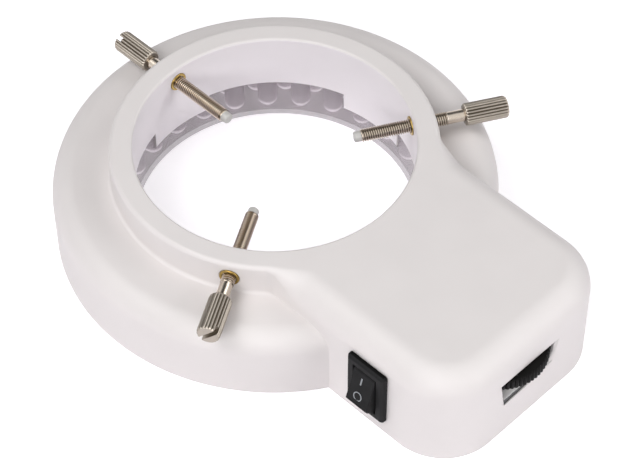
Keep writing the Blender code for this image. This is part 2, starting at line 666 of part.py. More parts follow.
def make_housing(material):
    housing = ring_solid(material)
    add_to(housing, body_solid("body_solid", 0, 0))
    cut(housing, bore_cutter())
    cut(housing, ring_cavity_cutter())
    cut(housing, box_cavity_cutter())
    for index in range(TAB_COUNT):
        cut(housing, wall_window_cutter(index))
    tab_trim = ((INNER_WALL_RADIUS + FIT, -OVERRUN), (INNER_WALL_RADIUS + FIT, TAB_EDGE),
                (BORE_RADIUS - OVERRUN, TAB_EDGE), (BORE_RADIUS - OVERRUN, -OVERRUN))
    cut(housing, turned("tab_trim", tab_trim, RING_SIDES, closed=True))

    box_ceiling = BODY_HEIGHT - SHELL_WALL
    ring_ceiling = RING_TOP - SHELL_WALL
    root = SHELL_WALL / 2
    for place in COVER_SCREW_PLACES:
        bottom = BASE_THICKNESS + GAP
        add_to(housing, boss(place, BOSS_RADIUS, bottom, box_ceiling + root))
        cut(housing, pilot_hole(place, bottom, SMALL_SCREW_LENGTH))
    for place in BOARD_SCREW_PLACES:
        bottom = CONTROL_BOARD_TOP + GAP
        add_to(housing, boss(place, BOSS_RADIUS, bottom, box_ceiling + root))
        cut(housing, pilot_hole(place, bottom, SMALL_SCREW_LENGTH))
    for place in led_screw_places():
        bottom = LED_BOARD_TOP + GAP
        add_to(housing, boss(place, BOSS_RADIUS, bottom, ring_ceiling + root))
        cut(housing, pilot_hole(place, bottom, LED_BOSS_HEIGHT - LED_BOSS_HEIGHT / 4))

    for angle in SCREW_ANGLES:
        hole = rod("insert_hole", (0, 0, -OVERRUN - BORE_RIM_ROUND),
                   (0, 0, COLLAR_WALL + OVERRUN), INSERT_RADIUS + FIT, SCREW_SIDES)
        place_radially(hole, angle, BORE_RADIUS, SCREW_HEIGHT)
        cut(housing, hole)

    half_width = SWITCH_BODY_WIDTH / 2 + FIT
    half_height = SWITCH_BODY_HEIGHT / 2 + FIT
    side = BOX_HALF_WIDTH
    cut(housing, block("switch_hole",
                       (-side - OVERRUN, SWITCH_Y - half_width, SWITCH_Z - half_height),
                       (-side + SHELL_WALL + OVERRUN, SWITCH_Y + half_width,
                        SWITCH_Z + half_height)))
    cut(housing, rod("socket_hole", (side - SHELL_WALL - OVERRUN, JACK_Y, JACK_Z),
                     (side + OVERRUN, JACK_Y, JACK_Z), JACK_NOSE_RADIUS + FIT, SCREW_SIDES))
    inside = -(BOX_REACH - SHELL_WALL)
    cut(housing, slot_cutter("slot_pocket", POCKET_SIDE, -(BOX_REACH - SLOT_WALL),
                             inside + OVERRUN))
    cut(housing, slot_cutter("slot_hole", 0, -(BOX_REACH + OVERRUN), inside))
    smooth(housing)
    return housing


# Lens and base


def make_lens(material):
    """Clear ring cover: floor under the lights, skirt inside the bore, low outer lip."""
    bottom = LENS_RECESS
    floor_top = bottom + LENS_FLOOR
    inner = LENS_INNER_RADIUS
    skirt_top = WINDOW_EDGE - GAP
    profile = [
        (inner + LENS_BEVEL, bottom),
        (LENS_OUTER_RADIUS, bottom),
        (LENS_OUTER_RADIUS, LENS_LIP_HEIGHT),
        (LENS_OUTER_RADIUS - LENS_LIP, LENS_LIP_HEIGHT),
        (LENS_OUTER_RADIUS - LENS_LIP, floor_top),
        (inner + LENS_SKIRT, floor_top),
        (inner + LENS_SKIRT, skirt_top),
        (inner, skirt_top),
        (inner, bottom + LENS_BEVEL),
    ]
    lens = turned("lens_ring", profile, RING_SIDES, material, closed=True)
    pitch = math.tau / TAB_COUNT
    play = GAP / inner
    for index in range(TAB_COUNT):
        start = index * pitch - TAB_HALF_ANGLE - play
        end = index * pitch + TAB_HALF_ANGLE + play
        outline = (arc((0, 0), inner + LENS_SKIRT + OVERRUN, start, end, ROUND_STEPS)
                   + arc((0, 0), inner - OVERRUN, end, start, ROUND_STEPS))
        cut(lens, prism("skirt_notch", outline, TAB_EDGE - GAP, skirt_top + OVERRUN))
    smooth(lens)
    return lens


def base_outline():
    """Edge of the base cover: inside the box's walls and round the lens."""
    half_width = BOX_HALF_WIDTH - SHELL_WALL - GAP
    reach = BOX_REACH - SHELL_WALL - GAP
    corner = BOX_CORNER - SHELL_WALL - GAP
    back_radius = LENS_OUTER_RADIUS + 2 * GAP
    back_angle = math.acos(half_width / back_radius)
    steps = 12
    return (
        arc((0, 0), back_radius, -math.pi + back_angle, -back_angle, steps)
        + arc((half_width - corner, corner - reach), corner, 0, -math.pi / 2, ROUND_STEPS)
        + arc((corner - half_width, corner - reach), corner, -math.pi / 2, -math.pi,
              ROUND_STEPS)
    )


def make_base_cover(material):
    cover = prism("base_cover", base_outline(), 0, BASE_THICKNESS, material)
    for x, y in COVER_SCREW_PLACES:
        cut(cover, rod("screw_hole", (x, y, -OVERRUN), (x, y, BASE_THICKNESS + OVERRUN),
                       SMALL_SCREW_RADIUS + FIT, SMALL_SIDES))
        cut(cover, rod("counterbore", (x, y, -OVERRUN), (x, y, COUNTERBORE_DEPTH),
                       SMALL_HEAD_RADIUS + GAP, SMALL_SIDES))
    return cover


# Lights and boards


def led_profile():
    """Half section of one light, tip down: dome, then straight body up into the carrier."""
    profile = []
    for step in range(LED_DOME_STEPS + 1):
        turn = math.pi / 2 * step / LED_DOME_STEPS
        profile.append((LED_RADIUS * math.sin(turn),
                        LED_TIP_HEIGHT + LED_RADIUS * (1 - math.cos(turn))))
    inside_carrier = LED_TOP_HEIGHT - LED_CARRIER / 2
    profile.append((LED_RADIUS, inside_carrier))
    profile.append((0, inside_carrier))
    return profile


def make_led_row(name, orbit, count, phase, material):
    """One row of lights, joined where their leads meet the board by a thin carrier ring."""
    side = LED_RADIUS - LED_CARRIER_INSET
    inner = orbit - side
    outer = orbit + side
    bottom = LED_TOP_HEIGHT - LED_CARRIER
    carrier = ((inner, bottom), (outer, bottom), (outer, LED_TOP_HEIGHT),
               (inner, LED_TOP_HEIGHT))
    row = turned(name, carrier, RING_SIDES // 2, material, closed=True)
    mesh_builder = bmesh.new()
    for index in range(count):
        angle = phase + math.tau * index / count
        light = bmesh.new()
        add_turned(light, led_profile(), LED_SIDES)
        mesh = bpy.data.meshes.new("light")
        light.to_mesh(mesh)
        light.free()
        mesh.transform(Matrix.Translation((orbit * math.cos(angle), orbit * math.sin(angle), 0)))
        mesh_builder.from_mesh(mesh)
        bpy.data.meshes.remove(mesh)
    add_to(row, to_object("lights", mesh_builder))
    smooth(row)
    return row


def make_led_board(material):
    profile = ((LED_BOARD_INNER_RADIUS, LED_BOARD_BOTTOM),
               (LED_BOARD_OUTER_RADIUS, LED_BOARD_BOTTOM),
               (LED_BOARD_OUTER_RADIUS, LED_BOARD_TOP),
               (LED_BOARD_INNER_RADIUS, LED_BOARD_TOP))
    board = turned("led_board", profile, RING_SIDES, material, closed=True)
    for x, y in led_screw_places():
        cut(board, rod("screw_hole", (x, y, LED_BOARD_BOTTOM - OVERRUN),
                       (x, y, LED_BOARD_TOP + OVERRUN), SMALL_SCREW_RADIUS + FIT,
                       SMALL_SIDES))
    return board


def control_board_outline():
    """Edge of the board, with the tongue that reaches into the wheel's slot."""
    front = -(BOX_REACH - SHELL_WALL - GAP)
    tongue = -(BOX_REACH - TONGUE_RECESS)
    nose = BOARD_HALF_WIDTH - BOARD_NOSE_SIDE
    return (
        (-nose, front),
        (TONGUE_LEFT_X, front),
        (TONGUE_LEFT_X, tongue),
        (TONGUE_LEFT_X + TONGUE_WIDTH, tongue),
        (TONGUE_LEFT_X + TONGUE_WIDTH, front),
        (nose, front),
        (BOARD_HALF_WIDTH, front + BOARD_NOSE_LENGTH),
        (BOARD_HALF_WIDTH, BOARD_SHOULDER_Y),
        (BOARD_TAIL_RIGHT_X, BOARD_SHOULDER_Y),
        (BOARD_TAIL_RIGHT_X, BOARD_BACK_Y),
        (BOARD_TAIL_LEFT_X, BOARD_BACK_Y),
        (BOARD_TAIL_LEFT_X, BOARD_SHOULDER_Y),
        (-BOARD_HALF_WIDTH, BOARD_SHOULDER_Y),
        (-BOARD_HALF_WIDTH, front + BOARD_NOSE_LENGTH),
    )


def make_control_board(material):
    board = prism("control_board", control_board_outline(), CONTROL_BOARD_BOTTOM,
                  CONTROL_BOARD_TOP, material)
    for x, y in BOARD_SCREW_PLACES:
        cut(board, rod("screw_hole", (x, y, CONTROL_BOARD_BOTTOM - OVERRUN),
                       (x, y, CONTROL_BOARD_TOP + OVERRUN), SMALL_SCREW_RADIUS + FIT,
                       SMALL_SIDES))
    return board


# Thumb screws


def fluted_loop(radius, depth, height):
    """Points round a fluted head, alternately on its ridges and in its grooves."""
    loop = []
    for index in range(2 * FLUTE_COUNT):
        angle = math.pi * index / FLUTE_COUNT
        reach = radius - (depth if index % 2 else 0)
        loop.append((reach * math.cos(angle), reach * math.sin(angle), height))
    return loop


def make_thumb_screw(index, material):
    """Screw with its seat at its own origin: head towards +Z, shank towards -Z."""
    name = f"thumb_screw_{index + 1}"
    end = TIP_LENGTH + GAP - SCREW_REACH
    small = HEAD_RADIUS - HEAD_CHAMFER
    head = [
        fluted_loop(small, 0, 0),
        fluted_loop(HEAD_RADIUS, FLUTE_DEPTH, HEAD_CHAMFER),
        fluted_loop(HEAD_RADIUS, FLUTE_DEPTH, HEAD_LENGTH - HEAD_CHAMFER),
        fluted_loop(small, 0, HEAD_LENGTH),
    ]
    screw = lofted(name, head, material)
    taper = SCREW_RADIUS - NECK_RADIUS
    shank = (
        (0, HEAD_CHAMFER),
        (NECK_RADIUS, HEAD_CHAMFER),
        (NECK_RADIUS, -NECK_LENGTH),
        (SCREW_RADIUS, -NECK_LENGTH - taper),
        (SCREW_RADIUS, end + POINT_LENGTH),
        (POINT_RADIUS, end + POINT_LENGTH - taper),
        (POINT_RADIUS, end),
        (0, end),
    )
    add_to(screw, turned("shank", shank, SCREW_SIDES))
    peg_hole = TIP_PEG_LENGTH + FIT
    cut(screw, rod("peg_hole", (0, 0, end - OVERRUN), (0, 0, end + peg_hole),
                   TIP_PEG_RADIUS + FIT, SMALL_SIDES))
    half_slot = HEAD_SLOT_WIDTH / 2
    reach = HEAD_RADIUS + OVERRUN
    cut(screw, block("head_slot", (-half_slot, -reach, HEAD_LENGTH - HEAD_SLOT_DEPTH),
                     (half_slot, reach, HEAD_LENGTH + OVERRUN)))
    smooth(screw)
    return screw


def make_nylon_tip(index, material):
    """Soft tip whose peg fits in the end of the screw; same origin as its screw."""
    base = TIP_LENGTH - SCREW_REACH
    chamfer = TIP_RADIUS - POINT_RADIUS + FIT
    profile = (
        (0, -SCREW_REACH),
        (TIP_RADIUS - chamfer, -SCREW_REACH),
        (TIP_RADIUS, -SCREW_REACH + chamfer),
        (TIP_RADIUS, base),
        (TIP_PEG_RADIUS, base),
        (TIP_PEG_RADIUS, base + TIP_PEG_LENGTH),
        (0, base + TIP_PEG_LENGTH),
    )
    tip = turned(f"nylon_tip_{index + 1}", profile, SMALL_SIDES, material)
    smooth(tip)
    return tip


def make_brass_insert(index, material):
    """Threaded bush in the collar's wall, just proud of both faces."""
    inner_end = -INSERT_PROUD
    outer_end = COLLAR_WALL + INSERT_PROUD
    hole = SCREW_RADIUS + FIT
    profile = (
        (hole, inner_end),
        (INSERT_RADIUS - INSERT_CHAMFER, inner_end),
        (INSERT_RADIUS, inner_end + INSERT_CHAMFER),
        (INSERT_RADIUS, outer_end - INSERT_CHAMFER),
        (INSERT_RADIUS - INSERT_CHAMFER, outer_end),
        (hole, outer_end),
    )
    insert = turned(f"brass_insert_{index + 1}", profile, SCREW_SIDES, material, closed=True)
    smooth(insert)
    return insert


def make_clamp_screws(materials):
    for index, (angle, backed_out) in enumerate(zip(SCREW_ANGLES, SCREW_BACKED_OUT)):
        seat = COLLAR_RADIUS + INSERT_PROUD + backed_out
        place_radially(make_thumb_screw(index, materials["nickel_plate"]), angle, seat,
                       SCREW_HEIGHT)
        place_radially(make_nylon_tip(index, materials["nylon"]), angle, seat, SCREW_HEIGHT)
        place_radially(make_brass_insert(index, materials["brass"]), angle, BORE_RADIUS,
                       SCREW_HEIGHT)


# Rocker switch, in local axes: +X into the box, the wall's outer face at x = 0


def make_switch_frame(material):
    """Snap-in body with its bezel, and the pocket that the paddle rocks in."""
    half_bezel_width = BEZEL_WIDTH / 2 - BEZEL_ROUND
    half_bezel_height = BEZEL_HEIGHT / 2 - BEZEL_ROUND
    loop = []
    for corner, (side_y, side_z) in enumerate(((1, 1), (-1, 1), (-1, -1), (1, -1))):
        centre = (side_y * half_bezel_width, side_z * half_bezel_height)
        start = corner * math.pi / 2
        loop.extend(arc(centre, BEZEL_ROUND, start, start + math.pi / 2, 3))
    front = -FIT - BEZEL_THICKNESS
    bevel = BEZEL_THICKNESS / 2
    loops = [[(x, y, z) for y, z in loop] for x in (-FIT, front + bevel)]
    draw_in = 1 - 2 * bevel / BEZEL_WIDTH
    loops.append([(front, y * draw_in, z * draw_in) for y, z in loop])
    frame = lofted("switch_frame", loops, material)
    half_width = SWITCH_BODY_WIDTH / 2
    half_height = SWITCH_BODY_HEIGHT / 2
    add_to(frame, block("switch_body", (-FIT - bevel, -half_width, -half_height),
                        (SWITCH_BODY_DEPTH, half_width, half_height)))
    pocket_half_width = PADDLE_WIDTH / 2 + GAP
    pocket_half_height = PADDLE_RADIUS + GAP
    floor = paddle_pivot() + SWITCH_POCKET_DEPTH
    cut(frame, block("paddle_pocket",
                     (front - OVERRUN, -pocket_half_width, -pocket_half_height),
                     (floor, pocket_half_width, pocket_half_height)))
    pin_reach = PADDLE_WIDTH / 2 + TRUNNION_LENGTH + FIT
    cut(frame, rod("trunnion_hole", (paddle_pivot(), -pin_reach, 0),
                   (paddle_pivot(), pin_reach, 0), TRUNNION_RADIUS + FIT, SMALL_SIDES))
    for side in (1, -1):
        slot_low, slot_high = terminal_box(side, FIT)
        cut(frame, block("terminal_slot", slot_low, slot_high))
    frame.location = (-BOX_HALF_WIDTH, SWITCH_Y, SWITCH_Z)
    return frame


def paddle_pivot():
    """Depth of the paddle's pivot, from the wall's outer face."""
    return PADDLE_PIVOT_DEPTH - FIT - BEZEL_THICKNESS


def terminal_box(side, margin):
    """Low and high corners of a terminal, seated in the back of the switch."""
    start = SWITCH_BODY_DEPTH - TERMINAL_SEAT
    half_width = TERMINAL_WIDTH / 2 + margin
    half_thickness = TERMINAL_THICKNESS / 2 + margin
    height = side * TERMINAL_SPREAD
    low = (start - margin, -half_thickness, height - half_width)
    high = (start + TERMINAL_LENGTH, half_thickness, height + half_width)
    return low, high


def make_terminals(material):
    for index, side in enumerate((1, -1)):
        low, high = terminal_box(side, 0)
        terminal = block(f"switch_terminal_{index + 1}", low, high, material)
        hole_x = high[0] - TERMINAL_WIDTH / 2
        hole_z = side * TERMINAL_SPREAD
        cut(terminal, rod("solder_hole", (hole_x, -OVERRUN, hole_z),
                          (hole_x, OVERRUN, hole_z), TERMINAL_THICKNESS, SMALL_SIDES))
        terminal.location = (-BOX_HALF_WIDTH, SWITCH_Y, SWITCH_Z)


def make_paddle(material):
    """Paddle about its pivot: its face points to -X before it is tilted, its ends are arcs."""
    upper = [(PADDLE_KEEL_DEPTH, PADDLE_KEEL_HALF), (PADDLE_SHELF, PADDLE_WAIST)]
    upper += arc((0, 0), PADDLE_RADIUS, math.pi / 2, math.pi - PADDLE_HALF_ANGLE,
                 PADDLE_END_STEPS)
    section = upper + [(x, -z) for x, z in reversed(upper)]
    half_width = PADDLE_WIDTH / 2
    loops = [[(x, y, z) for x, z in section] for y in (-half_width, half_width)]
    paddle = lofted("switch_paddle", loops, material)
    reach = half_width + TRUNNION_LENGTH
    add_to(paddle, rod("trunnions", (0, -reach, 0), (0, reach, 0), TRUNNION_RADIUS,
                       SMALL_SIDES))
    paddle.location = (paddle_pivot() - BOX_HALF_WIDTH, SWITCH_Y, SWITCH_Z)
    paddle.rotation_euler = (0, PADDLE_TILT, 0)
    return paddle


# Dimmer


def make_wheel(material):
    """Thumb wheel with ribs round its rim and a stub that turns in the potentiometer."""
    count = 2 * WHEEL_TEETH
    loops = []
    for height in (0, WHEEL_THICKNESS):
        loop = []
        for index in range(count):
            angle = math.tau * index / count
            reach = WHEEL_RADIUS - (WHEEL_TOOTH_DEPTH if index % 2 else 0)
            loop.append((reach * math.cos(angle), reach * math.sin(angle), height))
        loops.append(loop)
    wheel = lofted("dimmer_wheel", loops, material)
    add_to(wheel, rod("stub", (0, 0, -WHEEL_STUB_LENGTH), (0, 0, WHEEL_THICKNESS / 2),
                      WHEEL_STUB_RADIUS, SMALL_SIDES))
    cut(wheel, rod("dish", (0, 0, WHEEL_THICKNESS - WHEEL_DISH_DEPTH),
                   (0, 0, WHEEL_THICKNESS + OVERRUN), WHEEL_DISH_RADIUS, SCREW_SIDES))
    cut(wheel, rod("screw_hole", (0, 0, -WHEEL_STUB_LENGTH - OVERRUN),
                   (0, 0, WHEEL_THICKNESS + OVERRUN), SMALL_SCREW_RADIUS + FIT,
                   SMALL_SIDES))
    wheel.location = (WHEEL_X, WHEEL_Y, WHEEL_BOTTOM)
    smooth(wheel)
    return wheel


def make_potentiometer(material):
    """Flat round potentiometer on the board, with the lug that its contacts leave by."""
    bottom = CONTROL_BOARD_TOP + GAP
    top = WHEEL_BOTTOM - GAP
    profile = ((0, bottom), (POT_RADIUS, bottom), (POT_RADIUS, top), (0, top))
    pot = turned("potentiometer", profile, SCREW_SIDES, material)
    half_lug = POT_LUG_HALF_WIDTH
    lug_top = bottom + (top - bottom) / 2
    add_to(pot, block("lug", (-half_lug, 0, bottom + FIT),
                      (half_lug, POT_RADIUS + POT_LUG_LENGTH, lug_top)))
    cut(pot, rod("hub_hole", (0, 0, WHEEL_BOTTOM - WHEEL_STUB_LENGTH - GAP),
                 (0, 0, top + OVERRUN), WHEEL_STUB_RADIUS + FIT, SCREW_SIDES))
    pot.location = (WHEEL_X, WHEEL_Y, 0)
    smooth(pot)
    return pot


# Power socket


def make_power_socket(material):
    """Block on the board whose round nose fills the hole in the box's side."""
    end = BOX_HALF_WIDTH - JACK_RECESS
    front = SOCKET_INNER_X + JACK_BODY_LENGTH
    bottom = CONTROL_BOARD_TOP + GAP
    half_width = JACK_BODY_WIDTH / 2
    socket = block("power_socket", (SOCKET_INNER_X, JACK_Y - half_width, bottom),
                   (front, JACK_Y + half_width, bottom + JACK_BODY_HEIGHT), material)
    add_to(socket, rod("nose", (front - OVERRUN, JACK_Y, JACK_Z), (end, JACK_Y, JACK_Z),
                       JACK_NOSE_RADIUS, SCREW_SIDES))
    cut(socket, rod("socket_bore", (end - JACK_BORE_DEPTH, JACK_Y, JACK_Z),
                    (end + OVERRUN, JACK_Y, JACK_Z), JACK_BORE_RADIUS, SCREW_SIDES))
    back = end - JACK_BORE_DEPTH
    cut(socket, rod("pin_hole", (back - JACK_PIN_SEAT - FIT, JACK_Y, JACK_Z),
                    (back + OVERRUN, JACK_Y, JACK_Z), JACK_PIN_RADIUS + FIT, SMALL_SIDES))
    return socket


def make_socket_pin(material):
    end = BOX_HALF_WIDTH - JACK_RECESS
    back = end - JACK_BORE_DEPTH - JACK_PIN_SEAT
    tip = end - JACK_PIN_RECESS
    length = tip - back
    chamfer = JACK_PIN_RADIUS / 2
    profile = ((0, 0), (JACK_PIN_RADIUS, 0), (JACK_PIN_RADIUS, length - chamfer),
               (JACK_PIN_RADIUS - chamfer, length), (0, length))
    pin = turned("socket_pin", profile, SMALL_SIDES, material)
    pin.location = (back, JACK_Y, JACK_Z)
    pin.rotation_euler = (0, math.pi / 2, 0)
    smooth(pin)
    return pin


# Small screws, all driven from below


def make_small_screw(name, place, seat, length, material):
    """Pan head below its seat, shank up; seat is the height that its head bears on."""
    head_bottom = -FIT - SMALL_HEAD_HEIGHT
    edge = SMALL_HEAD_HEIGHT / 3
    profile = (
        (0, head_bottom),
        (SMALL_HEAD_RADIUS - edge, head_bottom),
        (SMALL_HEAD_RADIUS, head_bottom + edge),
        (SMALL_HEAD_RADIUS, -FIT),
        (SMALL_SCREW_RADIUS, -FIT),
        (SMALL_SCREW_RADIUS, length - SMALL_SCREW_RADIUS),
        (0, length),
    )
    screw = turned(name, profile, SMALL_SIDES, material)
    half_width = DRIVE_SLOT_WIDTH / 2
    reach = SMALL_HEAD_RADIUS - edge
    slot_top = head_bottom + DRIVE_SLOT_DEPTH
    cut(screw, block("drive_slot", (-reach, -half_width, head_bottom - OVERRUN),
                     (reach, half_width, slot_top)))
    cut(screw, block("drive_slot", (-half_width, -reach, head_bottom - OVERRUN),
                     (half_width, reach, slot_top)))
    screw.location = (*place, seat)
    smooth(screw)
    return screw


def make_small_screws(material):
    cover_length = BASE_THICKNESS - COUNTERBORE_DEPTH + SMALL_SCREW_LENGTH - GAP
    for index, place in enumerate(COVER_SCREW_PLACES):
        make_small_screw(f"cover_screw_{index + 1}", place, COUNTERBORE_DEPTH, cover_length,
                         material)
    board_length = CONTROL_BOARD_THICKNESS + SMALL_SCREW_LENGTH - GAP
    for index, place in enumerate(BOARD_SCREW_PLACES):
        make_small_screw(f"board_screw_{index + 1}", place, CONTROL_BOARD_BOTTOM,
                         board_length, material)
    for index, place in enumerate(led_screw_places()):
        make_small_screw(f"led_board_screw_{index + 1}", place, LED_BOARD_BOTTOM,
                         BOARD_THICKNESS + LED_BOSS_HEIGHT * 3 / 4, material)


def make_wheel_screw(material):
    """Screw that holds the wheel on its potentiometer, head up in the wheel's dish."""
    seat = WHEEL_BOTTOM + WHEEL_THICKNESS - WHEEL_DISH_DEPTH + FIT
    length = WHEEL_THICKNESS - WHEEL_DISH_DEPTH + WHEEL_STUB_LENGTH
    head = WHEEL_DISH_DEPTH
    profile = (
        (0, -length),
        (SMALL_SCREW_RADIUS, -length),
        (SMALL_SCREW_RADIUS, 0),
        (SMALL_HEAD_RADIUS, 0),
        (SMALL_HEAD_RADIUS, head / 2),
        (SMALL_HEAD_RADIUS - head / 2, head),
        (0, head),
    )
    screw = turned("wheel_screw", profile, SMALL_SIDES, material)
    screw.location = (WHEEL_X, WHEEL_Y, seat)
    smooth(screw)
    return screw


# Parts on the control board


def make_board_parts(materials):
    bottom = CONTROL_BOARD_TOP + GAP
    groove = CAPACITOR_GROOVE
    capacitor_profile = (
        (0, 0),
        (CAPACITOR_RADIUS, 0),
        (CAPACITOR_RADIUS, 3 * groove),
        (CAPACITOR_RADIUS - groove, 4 * groove),
        (CAPACITOR_RADIUS, 5 * groove),
        (CAPACITOR_RADIUS, CAPACITOR_HEIGHT - groove),
        (CAPACITOR_RADIUS - groove, CAPACITOR_HEIGHT),
        (0, CAPACITOR_HEIGHT),
    )
    capacitor = turned("capacitor", capacitor_profile, SMALL_SIDES, materials["can_sleeve"])
    capacitor.location = (*CAPACITOR_PLACE, bottom)
    smooth(capacitor)

    coil_profile = (
        (0, 0),
        (COIL_FLANGE_RADIUS, 0),
        (COIL_FLANGE_RADIUS, COIL_FLANGE),
        (COIL_CORE_RADIUS, COIL_FLANGE),
        (COIL_CORE_RADIUS, COIL_HEIGHT - COIL_FLANGE),
        (COIL_FLANGE_RADIUS, COIL_HEIGHT - COIL_FLANGE),
        (COIL_FLANGE_RADIUS, COIL_HEIGHT),
        (0, COIL_HEIGHT),
    )
    coil = turned("inductor", coil_profile, SMALL_SIDES, materials["ferrite"])
    coil.location = (*COIL_PLACE, bottom)
    smooth(coil)

    half_length = CHIP_LENGTH / 2
    half_width = CHIP_WIDTH / 2
    chip = block("driver_chip", (-half_length, -half_width, 0),
                 (half_length, half_width, CHIP_HEIGHT), materials["black_plastic"])
    first_pin = -CHIP_PIN_PITCH * (CHIP_PINS_A_SIDE - 1) / 2
    pin_reach = half_width + CHIP_PIN_REACH
    for index in range(CHIP_PINS_A_SIDE):
        x = first_pin + index * CHIP_PIN_PITCH
        add_to(chip, block("pin_pair", (x - CHIP_PIN_WIDTH / 2, -pin_reach, FIT),
                           (x + CHIP_PIN_WIDTH / 2, pin_reach, CHIP_HEIGHT / 2)))
    chip.location = (*CHIP_PLACE, bottom)

    half = RESISTOR_LENGTH / 2
    end = half / 3
    thick = RESISTOR_RADIUS
    thin = RESISTOR_RADIUS - RESISTOR_BULGE
    resistor_profile = ((0, -half), (thick, -half), (thick, -half + end), (thin, -end / 2),
                        (thin, end / 2), (thick, half - end), (thick, half), (0, half))
    resistor = turned("resistor", resistor_profile, SMALL_SIDES, materials["resistor_body"])
    resistor.location = (*RESISTOR_PLACE, bottom + RESISTOR_RADIUS)
    resistor.rotation_euler = (0, math.pi / 2, 0)
    smooth(resistor)


# Leads


def make_lead(name, start, end, material):
    """Lead that rises from its start, arches over and drops square onto its end."""
    top = max(start[2], end[2]) + LEAD_ARCH
    straight = 2 * LEAD_RADIUS
    start, end = Vector(start), Vector(end)
    controls = (start, Vector((start.x, start.y, top)), Vector((end.x, end.y, top)), end)
    route = [start, start + Vector((0, 0, straight))]
    first = route[-1]
    last = end + Vector((0, 0, straight))
    for step in range(1, LEAD_POINTS):
        share = step / LEAD_POINTS
        rest = 1 - share
        route.append(first * rest ** 3 + controls[1] * (3 * rest * rest * share)
                     + controls[2] * (3 * rest * share * share) + last * share ** 3)
    route.extend((last, end))
    curve = bpy.data.curves.new(name, "CURVE")
    curve.dimensions = "3D"
    curve.bevel_depth = LEAD_RADIUS
    curve.bevel_resolution = 1
    curve.use_fill_caps = True
    spline = curve.splines.new("POLY")
    spline.points.add(len(route) - 1)
    for point, place in zip(spline.points, route):
        point.co = (*place, 1)
    curve.materials.append(material)
    lead = bpy.data.objects.new(name, curve)
    bpy.context.scene.collection.objects.link(lead)
    return lead


def make_leads(materials):
    board_top = CONTROL_BOARD_TOP + GAP
    lead_x = SWITCH_REACH - BOX_HALF_WIDTH - TERMINAL_WIDTH / 2
    top_edge = SWITCH_Z + TERMINAL_SPREAD + TERMINAL_WIDTH / 2 + GAP
    make_lead("switch_lead_1", (lead_x, SWITCH_Y, top_edge),
              (PAD_X, SWITCH_Y + LEAD_SPACING / 2, board_top), materials["red_lead"])
    beside = SWITCH_Y - TERMINAL_THICKNESS / 2 - LEAD_RADIUS - FIT
    foot = SWITCH_Z - TERMINAL_SPREAD - TERMINAL_WIDTH / 2
    make_lead("switch_lead_2", (lead_x, beside, foot),
              (PAD_X, SWITCH_Y - LEAD_SPACING / 2, board_top), materials["red_lead"])
    ring_top = LED_BOARD_TOP + GAP
    back = BOARD_BACK_Y - LEAD_EDGE
    ring_y = LEAD_EDGE - LED_BOARD_OUTER_RADIUS
    for index, colour in enumerate(("red_lead", "black_lead")):
        x = CAPACITOR_X + LEAD_SPACING * index
        make_lead(f"light_lead_{index + 1}", (x, back, board_top),
                  (x - LEAD_SPACING, ring_y, ring_top), materials[colour])


def main():
    clear_scene()
    materials = make_materials()
    make_housing(materials["white_abs"])
    make_base_cover(materials["white_abs"])
    make_lens(materials["clear_polycarbonate"])
    make_led_board(materials["white_board"])
    make_led_row("led_row_inner", INNER_LED_ROW, INNER_LED_COUNT, INNER_LED_PHASE,
                 materials["led_epoxy"])
    make_led_row("led_row_outer", OUTER_LED_ROW, OUTER_LED_COUNT, OUTER_LED_PHASE,
                 materials["led_epoxy"])
    make_clamp_screws(materials)
    make_switch_frame(materials["black_plastic"])
    make_paddle(materials["black_plastic"])
    make_terminals(materials["tinned_brass"])
    make_wheel(materials["black_plastic"])
    make_wheel_screw(materials["zinc_steel"])
    make_potentiometer(materials["black_plastic"])
    make_control_board(materials["white_board"])
    make_power_socket(materials["black_plastic"])
    make_socket_pin(materials["nickel_plate"])
    make_board_parts(materials)
    make_small_screws(materials["zinc_steel"])
    make_leads(materials)


main()
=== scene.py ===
# %% [markdown]
# # A ring lamp for a stereo microscope
# The solids of the lamp come from its CAD source. This file gives them their looks: finer
# shapes where the eye can tell, and a finish for every surface. It is a lesson in cells, and
# each step says what the piece is on the real lamp and why it is made the way it is.

# %% Load the lamp's solids
import json
import math

import bmesh
import bpy
from mathutils import Matrix, Vector


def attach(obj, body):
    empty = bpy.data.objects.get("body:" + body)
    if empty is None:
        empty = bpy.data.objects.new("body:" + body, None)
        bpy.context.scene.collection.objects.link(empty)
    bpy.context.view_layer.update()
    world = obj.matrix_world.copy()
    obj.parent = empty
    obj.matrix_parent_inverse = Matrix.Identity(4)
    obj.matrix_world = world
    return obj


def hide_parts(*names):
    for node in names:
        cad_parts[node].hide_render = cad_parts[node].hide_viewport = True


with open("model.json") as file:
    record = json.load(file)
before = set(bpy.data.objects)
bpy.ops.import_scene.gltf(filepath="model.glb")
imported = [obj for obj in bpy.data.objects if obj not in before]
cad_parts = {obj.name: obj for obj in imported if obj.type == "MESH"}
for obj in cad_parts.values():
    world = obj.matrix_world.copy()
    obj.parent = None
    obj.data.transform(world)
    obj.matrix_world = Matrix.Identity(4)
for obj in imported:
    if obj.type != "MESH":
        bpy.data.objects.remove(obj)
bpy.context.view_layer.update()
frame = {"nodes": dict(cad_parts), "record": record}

MM = 0.001
DEGREE = math.pi / 180
nodes = frame["nodes"]

# %% [markdown]
# ## Working by hand, in code
# An operator works on whatever is selected, so every step first selects one object only. In
# edit mode, points and faces are then picked by where they are. After a step the mesh is
# cleaned: points less than a thousandth of a millimetre apart become one.

# %% Choose one object, and enter or leave edit mode
weld_distance = 0.001 * MM


def choose(item):
    """Make one object the only one that is selected, and the active one."""
    bpy.ops.object.select_all(action="DESELECT")
    item.select_set(True)
    bpy.context.view_layer.objects.active = item


def edit(item):
    """Open an object in edit mode with everything in it selected."""
    choose(item)
    bpy.ops.object.mode_set(mode="EDIT")
    bpy.ops.mesh.select_all(action="SELECT")


